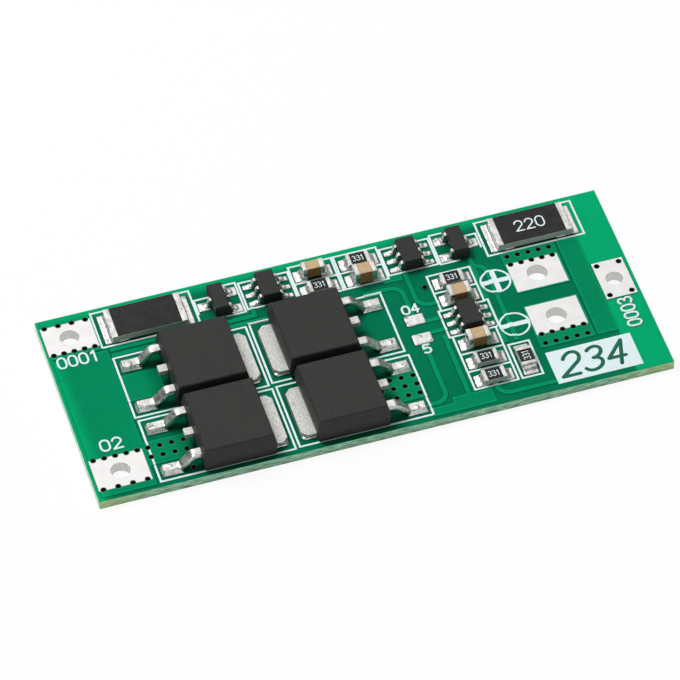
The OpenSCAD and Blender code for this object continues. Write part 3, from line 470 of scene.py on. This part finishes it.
def tinned_frame():
    """Stamped copper lead frame with matte tin plating: pale grey, with a grain that sparkles and pits.

    The plating's crystals are drawn at 0.16 mm, as coarse as they need to be to show.
    """
    material, tree, place = new_material("tinned_frame")
    crystal = add(tree, "TexNoise", {"Vector": place, "Scale": per(0.16), "Detail": 4})
    sparkle = add(tree, "MapRange", {**NOISE, "Value": crystal})
    patch = add(tree, "TexNoise", {"Vector": place, "Scale": per(0.9)})
    pit = add(tree, "TexNoise", {"Vector": place, "Scale": per(0.3), "Distortion": 0.8})
    pit = add(tree, "MapRange", {"Value": pit, "From Min": 0.64, "From Max": 0.72, "To Max": 0.6})
    colour = add(tree, "Mix", {"Factor": sparkle, "A": "#B2B2AE", "B": "#E2E1DD"}, data_type="RGBA")
    edge = add(tree, "Bevel", {"Radius": 0.06 * MM}, samples=6)
    shader = add(tree, "BsdfPrincipled", {
        "Base Color": add(tree, "Mix", {"Factor": pit, "A": colour, "B": "#7B7A73"}, data_type="RGBA"),
        "Metallic": 0.6,
        "Roughness": add(tree, "MapRange", {**NOISE, "Value": patch, "To Min": 0.4, "To Max": 0.52}),
        "Normal": add(tree, "Bump", {"Height": crystal, "Distance": 0.012 * MM, "Normal": edge})})
    add(tree, "OutputMaterial", {"Surface": shader})
    return material


def tinned_lead():
    """Formed leads, plated with tin and wetted by solder: bright and soft-edged, with slow waves."""
    material, tree, place = new_material("tinned_lead")
    wave = add(tree, "TexNoise", {"Vector": place, "Scale": per(0.5), "Detail": 1, "Distortion": 0.5})
    tone = add(tree, "MapRange", {**NOISE, "Value": wave})
    stain = add(tree, "TexNoise", {"Vector": place, "Scale": per(0.6), "Detail": 1})
    stain = add(tree, "MapRange", {"Value": stain, "From Min": 0.62, "From Max": 0.72, "To Max": 0.55})
    colour = add(tree, "Mix", {"Factor": tone, "A": "#C9C8C4", "B": "#F0EFEB"}, data_type="RGBA")
    edge = add(tree, "Bevel", {"Radius": 0.12 * MM}, samples=6)
    shader = add(tree, "BsdfPrincipled", {
        "Base Color": add(tree, "Mix", {"Factor": stain, "A": colour, "B": "#807E76"}, data_type="RGBA"),
        "Metallic": 1.0,
        "Roughness": add(tree, "MapRange", {**NOISE, "Value": wave, "To Min": 0.22, "To Max": 0.38}),
        "Normal": add(tree, "Bump", {"Height": wave, "Distance": 0.025 * MM, "Normal": edge})})
    add(tree, "OutputMaterial", {"Surface": shader})
    return material


def tinned_cap():
    """Dipped and tin-plated end caps: bright, with thick soft edges and slow waves across the face."""
    material, tree, place = new_material("tinned_cap")
    across = add(tree, "Mapping", {"Vector": place, "Scale": (1, 1 / 2, 1)})
    wave = add(tree, "TexNoise", {"Vector": across, "Scale": per(0.5), "Detail": 1, "Distortion": 0.4})
    tone = add(tree, "MapRange", {**NOISE, "Value": wave})
    stain = add(tree, "TexNoise", {"Vector": place, "Scale": per(0.5), "Detail": 1})
    stain = add(tree, "MapRange", {"Value": stain, "From Min": 0.6, "From Max": 0.72, "To Max": 0.4})
    colour = add(tree, "Mix", {"Factor": tone, "A": "#C6C5C1", "B": "#EDEBE7"}, data_type="RGBA")
    edge = add(tree, "Bevel", {"Radius": 0.06 * MM}, samples=6)
    shader = add(tree, "BsdfPrincipled", {
        "Base Color": add(tree, "Mix", {"Factor": stain, "A": colour, "B": "#8A8880"}, data_type="RGBA"),
        "Metallic": 1.0,
        "Roughness": add(tree, "MapRange", {**NOISE, "Value": wave, "To Min": 0.25, "To Max": 0.36}),
        "Normal": add(tree, "Bump", {"Height": wave, "Distance": 0.015 * MM, "Normal": edge})})
    add(tree, "OutputMaterial", {"Surface": shader})
    return material


def alumina():
    """Fired alumina substrate, snapped from a scored plate: chalky grey-white with a sugary grain."""
    material, tree, place = new_material("alumina")
    sugar = add(tree, "TexNoise", {"Vector": place, "Scale": per(0.1)})
    tone = add(tree, "MapRange", {**NOISE, "Value": sugar})
    edge = add(tree, "Bevel", {"Radius": 0.03 * MM}, samples=6)
    shader = add(tree, "BsdfPrincipled", {
        "Base Color": add(tree, "Mix", {"Factor": tone, "A": "#98A69C", "B": "#B9C2BA"}, data_type="RGBA"),
        "Roughness": 0.75, "IOR": 1.76, "Specular IOR Level": 0.35,
        "Normal": add(tree, "Bump", {"Height": sugar, "Distance": 0.008 * MM, "Normal": edge})})
    add(tree, "OutputMaterial", {"Surface": shader})
    return material


def overglaze():
    """Black glass overcoat on a resistor: printed and fired, smooth and a little glossy."""
    material, tree, place = new_material("overglaze")
    flow = add(tree, "TexNoise", {"Vector": place, "Scale": per(0.7)})
    tone = add(tree, "MapRange", {**NOISE, "Value": flow})
    edge = add(tree, "Bevel", {"Radius": 0.03 * MM}, samples=6)
    shader = add(tree, "BsdfPrincipled", {
        "Base Color": add(tree, "Mix", {"Factor": tone, "A": "#1C1B1B", "B": "#282727"}, data_type="RGBA"),
        "Roughness": 0.38, "IOR": 1.5, "Specular IOR Level": 0.22,
        "Normal": add(tree, "Bump", {"Height": flow, "Distance": 0.01 * MM, "Normal": edge})})
    add(tree, "OutputMaterial", {"Surface": shader})
    return material


def tan_dielectric():
    """Sintered titanate ceramic: sandy tan and dull; its sawn sides are painted darker, as painted shade."""
    material, tree, place = new_material("tan_dielectric")
    sand = add(tree, "TexNoise", {"Vector": place, "Scale": per(0.12), "Detail": 3})
    tone = add(tree, "MapRange", {**NOISE, "Value": sand})
    # Painted shade: faces that don't look up take a darker brown
    facing = add(tree, "NewGeometry").outputs["True Normal"]
    top = add(tree, "SeparateXYZ", {"Vector": facing}).outputs["Z"]
    top = add(tree, "MapRange", {"Value": top, "From Min": 0.2, "From Max": 0.6})
    sides = add(tree, "Mix", {"Factor": tone, "A": "#7E5A34", "B": "#96703F"}, data_type="RGBA")
    face = add(tree, "Mix", {"Factor": tone, "A": "#BA9B70", "B": "#CDB38C"}, data_type="RGBA")
    edge = add(tree, "Bevel", {"Radius": 0.05 * MM}, samples=6)
    shader = add(tree, "BsdfPrincipled", {
        "Base Color": add(tree, "Mix", {"Factor": top, "A": sides, "B": face}, data_type="RGBA"),
        "Roughness": 0.55, "IOR": 1.6, "Specular IOR Level": 0.35,
        "Normal": add(tree, "Bump", {"Height": sand, "Distance": 0.006 * MM, "Normal": edge})})
    add(tree, "OutputMaterial", {"Surface": shader})
    return material


# ---- Shapes read from the frame ----

def islands(name, ceiling=math.inf):
    """Boxes of a CAD node's separate solids, each over its corners no higher than ceiling above its foot."""
    mesh = NODES[name].data
    points, index = {}, []
    for vertex in mesh.vertices:
        key = tuple(round(c, 8) for c in vertex.co)
        index.append(points.setdefault(key, len(points)))
    places = [Vector(key) for key in points]
    owner = list(range(len(places)))

    def root(k):
        while owner[k] != k:
            owner[k] = owner[owner[k]]
            k = owner[k]
        return k

    for edge in mesh.edges:
        owner[root(index[edge.vertices[0]])] = root(index[edge.vertices[1]])
    groups = {}
    for k, place in enumerate(places):
        groups.setdefault(root(k), []).append(place)
    boxes = []
    for group in groups.values():
        floor = min(p.z for p in group)
        low_points = [p for p in group if p.z <= floor + ceiling]
        low = Vector(min(p[a] for p in low_points) for a in range(3))
        high = Vector(max(p[a] for p in low_points) for a in range(3))
        boxes.append((low, high))
    return sorted(boxes, key=lambda b: (round(b[0].x, 6), round(b[0].y, 6)))


# How solder meets each kind of foot: the node's first and last words, then in millimetres how far up
# the foot's walls are read, how high the solder climbs, how far it runs out, how high its lumps are,
# how thickly it covers the foot's top, and how far under the foot it keeps its height
Wetting = namedtuple("Wetting", "stem ending wall climb run lump cover under")
WETTINGS = (
    Wetting("power_transistor", "_leads", 0.03, 0.4, 0.3, 0.1, 0.02, 0.04),
    Wetting("", "_leads", 0.03, 0.1, 0.28, 0.012, 0, 0.04),
    Wetting("", "_drain_tab", 0.3, 0, 0.2, 0, 0, 0.04),
    Wetting("balance_resistor", "_end_caps", 0.3, 0.16, 0.25, 0.015, 0, 0.15),
    Wetting("", "_end_caps", 0.3, 0.3, 0.55, 0.03, 0, 0.12),
)


# Lumps in solder: a slow swell, and a finer one of half its height, each from its own slice of noise
SLOW_LUMP, SLOW_SLICE = 0.42 * MM, 0.3 * MM
FINE_LUMP, FINE_SLICE = 0.2 * MM, 1.7 * MM
THINNEST = 0.002 * MM


def feet():
    """Every soldered foot: its low corner, its high corner, how solder meets it and its side of its part."""
    found = []
    for name in like("_leads", "_drain_tab", "_end_caps"):
        wetting = next(w for w in WETTINGS if name.startswith(w.stem) and name.endswith(w.ending))
        part_low, part_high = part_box(name)
        for low, high in islands(name, ceiling=wetting.wall * MM):
            if low.z < SEAT_Z + 0.02 * MM:
                side = math.copysign(1, low.x + high.x - part_low.x - part_high.x)
                found.append((low, high, wetting, side))
    return found


def rounded_point(s, t, half_x, half_y, corner):
    """A point of the square from -1 to 1 on a rectangle with round corners."""
    x, y = s * half_x, t * half_y
    over_x, over_y = abs(x) - (half_x - corner), abs(y) - (half_y - corner)
    if over_x > 0 and over_y > 0:
        length = math.hypot(over_x, over_y)
        shrink = max(over_x, over_y) / length
        x = math.copysign(half_x - corner + over_x * shrink, x)
        y = math.copysign(half_y - corner + over_y * shrink, y)
    return x, y


def solder_height(x, y, inset, film, foot, rim):
    """Height of the solder over its pad: a thin film that meets the foot as its wetting says."""
    edge = min(1.0, inset / rim)
    height = film * math.sqrt(max(0.0, 1 - (1 - edge) ** 2))
    swell = noise.noise(Vector((x, y, SLOW_SLICE)) / SLOW_LUMP)
    swell += 0.5 * noise.noise(Vector((y, x, FINE_SLICE)) / FINE_LUMP)
    if not foot:
        return max(height + 0.006 * MM * swell * edge, THINNEST)
    low, high, wetting, side = foot
    inside = wetting.under * MM
    out_x = max(low.x + inside - x, 0, x - high.x + inside)
    out_y = max(low.y + inside - y, 0, y - high.y + inside)
    away = math.hypot(out_x, out_y)
    climb, lump = wetting.climb * MM, wetting.lump * MM * swell
    share = max(0.0, 1 - max(0.0, away - inside) / (wetting.run * MM))
    if wetting.cover:
        # The solder drapes the toe, and sinks out of sight before the lead's bend
        from_toe = high.x - x if side > 0 else x - low.x
        drape = min(1.0, max(0.0, (0.78 * (high.x - low.x) - from_toe) / (0.3 * MM)))
        top = climb + (wetting.cover * MM + abs(lump)) * drape - 0.05 * MM * (1 - drape)
        shoulder = min(1.0, 0.12 + inset / (0.17 * MM))
        return max(height, top * share ** 1.3 * shoulder + 0.5 * lump * share, THINNEST)
    if away == 0:
        return height
    return max(height + edge * (climb * share ** 2.2 + lump * (0.5 + 0.5 * share)), THINNEST)


def add_solder(shape, pad, foot, settings):
    """Adds one pad's solder to the mesh: an uneven top over a flat bottom."""
    low, high = pad
    centre = (low + high) / 2
    half_x, half_y = (high.x - low.x) / 2, (high.y - low.y) / 2
    # A pad whose solder stays flat needs few points
    step = settings.step if not foot or foot[2].climb else 5 * settings.step
    steps_x = max(6, round(2 * half_x / step))
    steps_y = max(6, round(2 * half_y / step))
    film = SEAT_Z - low.z
    corner = min(settings.corner, 0.45 * min(half_x, half_y))
    rows = []
    for j in range(steps_y + 1):
        row = []
        for i in range(steps_x + 1):
            s, t = 2 * i / steps_x - 1, 2 * j / steps_y - 1
            x, y = rounded_point(s, t, half_x, half_y, corner)
            inset = min((1 - abs(s)) * half_x, (1 - abs(t)) * half_y)
            z = solder_height(centre.x + x, centre.y + y, inset, film, foot, settings.rim)
            row.append(shape.verts.new((centre.x + x, centre.y + y, low.z + z)))
        rows.append(row)
    for j in range(steps_y):
        for i in range(steps_x):
            shape.faces.new((rows[j][i], rows[j][i + 1], rows[j + 1][i + 1], rows[j + 1][i])).smooth = True
    loop = rows[0][:-1] + [row[-1] for row in rows[:-1]] + rows[-1][:0:-1] + [row[0] for row in rows[:0:-1]]
    under = [shape.verts.new((v.co.x, v.co.y, low.z)) for v in loop]
    for k, vertex in enumerate(loop):
        after = (k + 1) % len(loop)
        shape.faces.new((under[k], under[after], loop[after], vertex))
    shape.faces.new(under[::-1])


# ---- Digits drawn with a round pen ----

def bow(x, y, radius_x, radius_y, start, stop):
    """Points of an arc about a middle, from one angle to another in degrees."""
    turns = [math.radians(start + (stop - start) * k / 12) for k in range(13)]
    return [(x + radius_x * math.cos(a), y + radius_y * math.sin(a)) for a in turns]


# Pen strokes in a cell 0.6 wide and 1 high; a stroke that ends where it starts is closed
DIGITS = {
    "0": [bow(0.3, 0.67, 0.3, 0.33, 0, 180) + bow(0.3, 0.33, 0.3, 0.33, 180, 360) + [(0.6, 0.67)]],
    "1": [[(0.1, 0.8), (0.32, 1)], [(0.32, 1), (0.32, 0)]],
    "2": [bow(0.3, 0.7, 0.29, 0.3, 170, -30) + [(0, 0)], [(0, 0), (0.6, 0)]],
    "3": [bow(0.28, 0.76, 0.27, 0.24, 150, -90), bow(0.28, 0.26, 0.32, 0.26, 90, -150)],
    "4": [[(0.44, 1), (0, 0.32)], [(0, 0.32), (0.6, 0.32)], [(0.44, 1), (0.44, 0)]],
    "5": [[(0.54, 1), (0.1, 1)], [(0.1, 1), (0.05, 0.56)], bow(0.28, 0.32, 0.31, 0.32, 130, -140)],
}


def add_stroke(shape, points, pen, low_z, high_z):
    """Adds one pen stroke to the mesh: a flat band along the points with round ends."""
    points = [Vector(p) for p in points]
    closed = (points[0] - points[-1]).length < 1e-9
    if closed:
        points.pop()
    sections = []
    for k, point in enumerate(points):
        before = points[k - 1] if k or closed else point
        after = points[(k + 1) % len(points)] if k < len(points) - 1 or closed else point
        along = ((point - before).normalized() + (after - point).normalized()).normalized()
        sections.append((point, along, pen / 2))
    if not closed:
        for end, sign in ((0, -1), (-1, 1)):
            point, along, half = sections[end]
            caps = [(point + along * sign * half * math.sin(a), along, half * math.cos(a))
                    for a in (math.radians(d) for d in (25, 50, 75))]
            sections = caps[::-1] + sections if sign < 0 else sections + caps
    rings = []
    for point, along, half in sections:
        side = Vector((-along.y, along.x)) * half
        corners = ((point + side, low_z), (point - side, low_z), (point - side, high_z), (point + side, high_z))
        rings.append([shape.verts.new((p.x, p.y, z)) for p, z in corners])
    for k in range(len(rings) if closed else len(rings) - 1):
        near, far = rings[k], rings[(k + 1) % len(rings)]
        for c in range(4):
            d = (c + 1) % 4
            shape.faces.new((near[c], near[d], far[d], far[c]))
    if not closed:
        shape.faces.new(rings[0][::-1])
        shape.faces.new(rings[-1])


def number_mesh(body, width, height, pen, slant=0.0, low_z=0.0, high_z=0.01 * MM):
    """A mesh of plain digits about its middle, that wide and high over its strokes."""
    gap = 0.22
    cells = len(body) * 0.6 + (len(body) - 1) * gap
    lean = slant * (height - pen)
    scale_x, scale_y = (width - pen - lean) / cells, height - pen
    shape = bmesh.new()
    for k, digit in enumerate(body):
        # Each stroke lies a little higher than the last, so that none fights another where they cross
        for layer, stroke in enumerate(DIGITS[digit]):
            points = []
            for x, y in stroke:
                x = (x + k * (0.6 + gap) - cells / 2) * scale_x
                y = (y - 0.5) * scale_y
                points.append((x + slant * y, y))
            add_stroke(shape, points, pen, low_z, high_z + layer * 0.001 * MM)
    bmesh.ops.recalc_face_normals(shape, faces=shape.faces)
    mesh = bpy.data.meshes.new("digits")
    shape.to_mesh(mesh)
    shape.free()
    return mesh


# ---- Operators ----

class BOARD_OT_bare_board(bpy.types.Operator):
    """Finish the laminate, the copper, the solder mask and the print"""

    bl_idname = "board.bare_board"
    bl_label = "Bare board"

    def execute(self, context):
        mask = solder_mask()
        dress(glass_laminate(), "pcb_laminate")
        dress(plated_copper(), "copper_layers")
        dress(mask, "solder_mask_top", "solder_mask_bottom")
        dress(screen_ink(), "white_print")
        return {"FINISHED"}


class BOARD_OT_terminals(bpy.types.Operator):
    """Finish the five solder terminals"""

    bl_idname = "board.terminals"
    bl_label = "Terminals"

    def execute(self, context):
        dress(levelled_tin(), *like("_terminal"))
        return {"FINISHED"}


class BOARD_OT_cases(bpy.types.Operator):
    """Finish the moulded cases, their leads and the drain tabs"""

    bl_idname = "board.cases"
    bl_label = "Transistors and chips"

    def execute(self, context):
        dress(moulding_compound(), *like("_case"))
        dress(tinned_frame(), *like("_drain_tab"))
        dress(tinned_lead(), *like("_leads"))
        return {"FINISHED"}


class BOARD_OT_resistors(bpy.types.Operator):
    """Finish the balance resistors and the chip resistors"""

    bl_idname = "board.resistors"
    bl_label = "Resistors"

    def execute(self, context):
        stones = [n for n in like("_ceramic") if "resistor" in n]
        dress(alumina(), *stones)
        dress(overglaze(), *like("_coat", "_coats"))
        dress(tinned_cap(), *like("_end_caps"))
        return {"FINISHED"}


class BOARD_OT_capacitors(bpy.types.Operator):
    """Finish the four ceramic capacitors"""

    bl_idname = "board.capacitors"
    bl_label = "Capacitors"

    def execute(self, context):
        dress(tan_dielectric(), *[n for n in like("_ceramic") if n.startswith("capacitor")])
        return {"FINISHED"}


class BOARD_OT_solder(bpy.types.Operator):
    """Lay reflowed solder on every pad, climbing each foot"""

    bl_idname = "board.solder"
    bl_label = "Solder"

    def execute(self, context):
        settings = context.scene.solder_settings
        pads = islands("solder_joints")
        standing = feet()
        if not pads or not standing:
            raise RuntimeError("The frame shows no pads or no feet to solder")
        shape = bmesh.new()
        for pad in pads:
            low, high = pad
            foot = None
            for found in standing:
                foot_low, foot_high = found[:2]
                reach_x = min(foot_high.x, high.x) - max(foot_low.x, low.x)
                reach_y = min(foot_high.y, high.y) - max(foot_low.y, low.y)
                if reach_x > 0 and reach_y > 0:
                    foot = found
                    break
            add_solder(shape, pad, foot, settings)
        mesh = bpy.data.meshes.new("reflowed_solder")
        shape.to_mesh(mesh)
        shape.free()
        piece = new_piece("reflowed_solder", mesh, reflowed_solder())
        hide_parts("solder_joints")
        return {"FINISHED"}


class BOARD_OT_numbers(bpy.types.Operator):
    """Print plain numbers beside the terminals and on the resistors"""

    bl_idname = "board.numbers"
    bl_label = "Numbers"

    def execute(self, context):
        settings = context.scene.number_settings
        ink = bpy.data.materials["screen_ink"]
        print_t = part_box("white_print")[1].z - TOP_Z

        def place(name, mesh, material, slot, x, y, turn=0.0):
            mesh.transform(Matrix.Translation((x, y, 0)) @ Matrix.Rotation(math.radians(turn), 4, "Z"))
            new_piece("number_" + name, mesh, material)

        plus_low, plus_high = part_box("pack_positive_terminal")
        minus_low, minus_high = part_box("pack_negative_terminal")
        tap_low, tap_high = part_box("cell_tap_terminal")
        jumpers = self.jumper_pads()
        # Each label: its digits, their height and width, its middle and its turn
        labels = [
            ("pack_positive", "0001", settings.height, 3.55 * MM, (plus_low.x + plus_high.x) / 2 + 0.05 * MM,
             plus_low.y - 0.95 * MM, 0),
            ("pack_negative", "02", settings.height, 1.9 * MM, (minus_low.x + minus_high.x) / 2,
             minus_high.y + 1.2 * MM, 0),
            ("cell_tap", "0003", settings.height, 3.3 * MM, (tap_low.x + tap_high.x) / 2,
             tap_low.y - 1.8 * MM, 90),
            ("jumper_back", "04", settings.jumper_height, 1.5 * MM, jumpers[1].x, jumpers[1].y + 1.2 * MM, 0),
            ("jumper_front", "5", settings.jumper_height, 0.8 * MM, jumpers[0].x, jumpers[0].y - 1.2 * MM, 0),
        ]
        for name, body, size, width, x, y, turn in labels:
            mesh = number_mesh(body, width, size, settings.pen, low_z=LOW_Z - 0.01 * MM, high_z=TOP_Z + print_t)
            place(name, mesh, ink, "white_ink", x, y, turn)
        # Digits left open in the solid field show the mask in their gaps
        out_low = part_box("output_negative_terminal")[0]
        field_top = LOW_Z + print_t
        field = number_mesh("234", 2.3 * settings.field_height, settings.field_height, settings.field_pen,
                            slant=0.27, low_z=field_top, high_z=field_top + 0.003 * MM)
        place("field", field, print_gap(), "solder_mask", (out_low.x + tap_low.x + 0.57 * MM) / 2,
              BOARD_LOW.y + 2.33 * MM)
        code = settings.code_height
        for name in like("_end_caps"):
            if name.startswith("chip_resistor"):
                low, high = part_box(name)
                turn = 90 if high.y - low.y > high.x - low.x else 0
                middle = (low + high) / 2
                mesh = number_mesh("331", 1.6 * code, code, settings.code_pen,
                                   low_z=high.z - 0.01 * MM, high_z=high.z)
                place(name.removesuffix("_end_caps"), mesh, ink, "white_ink", middle.x, middle.y, turn)
        low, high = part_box("balance_resistor_2_coat")
        mesh = number_mesh("220", 2.6 * MM, settings.value_height, settings.value_pen,
                           low_z=high.z, high_z=high.z + 0.006 * MM)
        middle = (low + high) / 2
        place("balance_resistor_2", mesh, ink, "white_ink", middle.x, middle.y + 0.05 * MM)
        return {"FINISHED"}

    @staticmethod
    def jumper_pads():
        """Middles of the two pads with no foot between the transistors and the control parts, front first."""
        left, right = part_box("power_transistor_2_leads")[1].x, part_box("protection_ic_leads")[0].x
        found = [(low + high) / 2 for low, high in islands("solder_joints")]
        between = [m for m in found if left + 0.2 * MM < m.x < right - 0.5 * MM and m.y < 3 * MM]
        if len(between) != 2:
            raise RuntimeError("The frame shows no two jumper pads")
        return sorted(between, key=lambda m: m.y)


# Each lamp: its place, the side of its square face in metres, and the setting that holds its power
LAMPS = {
    "key_lamp": ((-0.19, 0.16, 0.44), 0.22, "key_power"),
    "softbox": ((0.10, 0.35, 0.41), 0.46, "softbox_power"),
    "fill_lamp": ((0.16, -0.50, 0.30), 0.50, "fill_power"),
}


class BOARD_OT_stage(bpy.types.Operator):
    """Set up the floor, the lamps, the room's light and the camera"""

    bl_idname = "board.stage"
    bl_label = "Studio"

    def execute(self, context):
        scene = context.scene
        settings = scene.stage_settings
        self.add_floor(scene)
        for name, (place, size, power) in LAMPS.items():
            self.add_lamp(scene, name, place, size, getattr(settings, power))
        world = bpy.data.worlds.new("studio_room")
        scene.world = world
        world.use_nodes = True
        background = world.node_tree.nodes["Background"]
        background.inputs["Color"].default_value = (1, 1, 1, 1)
        background.inputs["Strength"].default_value = settings.world_level
        camera = bpy.data.objects.new("camera", bpy.data.cameras.new("camera"))
        camera.data.lens = settings.lens
        camera.data.clip_start = 0.01
        camera.location = settings.camera_place
        camera.rotation_euler = settings.camera_turn
        scene.collection.objects.link(camera)
        scene.camera = camera
        scene.view_settings.view_transform = "Standard"
        return {"FINISHED"}

    @staticmethod
    def add_floor(scene):
        """A wide pale floor that reads as white and keeps the board's shadow."""
        bpy.ops.mesh.primitive_plane_add(size=6)
        floor = bpy.context.object
        floor.name = "studio_floor"
        # A hair below the board, so that the two faces don't coincide
        floor.location.z = CAD_LOW.z - 0.01 * MM
        material, tree, _ = new_material("studio_floor")
        paper = add(tree, "BsdfPrincipled", {
            "Base Color": "#F4F4F4", "Roughness": 0.9, "Specular IOR Level": 0.0})
        path = add(tree, "LightPath").outputs
        seen = 0.0
        for ray in ("Is Camera Ray", "Is Glossy Ray", "Is Transmission Ray"):
            seen = add(tree, "Math", {0: seen, 1: path[ray]}, operation="MAXIMUM")
        # The rest of the share stays lit paper, which keeps the board's shadow
        share = add(tree, "Math", {0: seen, 1: 0.92}, operation="MULTIPLY")
        white = add(tree, "Emission", {"Color": "#FFFFFF", "Strength": 1.0})
        add(tree, "OutputMaterial", {
            "Surface": add(tree, "MixShader", {0: share, 1: paper, 2: white})})
        floor.data.materials.append(material)

    @staticmethod
    def add_lamp(scene, name, place, size, power):
        """A square soft lamp aimed at the board."""
        lamp = bpy.data.lights.new(name, "AREA")
        lamp.size = size
        lamp.energy = power
        holder = bpy.data.objects.new(name, lamp)
        holder.location = place
        holder.rotation_euler = Vector(place).to_track_quat("Z", "Y").to_euler()
        scene.collection.objects.link(holder)


OPERATORS = (
    BOARD_OT_bare_board, BOARD_OT_terminals, BOARD_OT_cases, BOARD_OT_resistors, BOARD_OT_capacitors,
    BOARD_OT_solder, BOARD_OT_numbers, BOARD_OT_stage,
)
SETTINGS = {
    "board_settings": BoardSettings, "solder_settings": SolderSettings,
    "number_settings": NumberSettings, "stage_settings": StageSettings,
}


class BOARD_PT_panel(bpy.types.Panel):
    """The board's steps and settings"""

    bl_label = "Battery management board"
    bl_idname = "BOARD_PT_panel"
    bl_space_type = "VIEW_3D"
    bl_region_type = "UI"
    bl_category = "Board"

    def draw(self, context):
        for operator in OPERATORS:
            self.layout.operator(operator.bl_idname)
        for name, group in SETTINGS.items():
            box = self.layout.box()
            for field in group.__annotations__:
                box.prop(getattr(context.scene, name), field)


def register():
    for group in (*SETTINGS.values(), *OPERATORS, BOARD_PT_panel):
        bpy.utils.register_class(group)
    for name, group in SETTINGS.items():
        setattr(bpy.types.Scene, name, bpy.props.PointerProperty(type=group))


def unregister():
    for name in SETTINGS:
        delattr(bpy.types.Scene, name)
    for group in (BOARD_PT_panel, *reversed(OPERATORS), *reversed(SETTINGS.values())):
        bpy.utils.unregister_class(group)


def main():
    register()
    for operator in OPERATORS:
        group, name = operator.bl_idname.split(".")
        getattr(getattr(bpy.ops, group), name)()


if __name__ == "__main__":
    main()
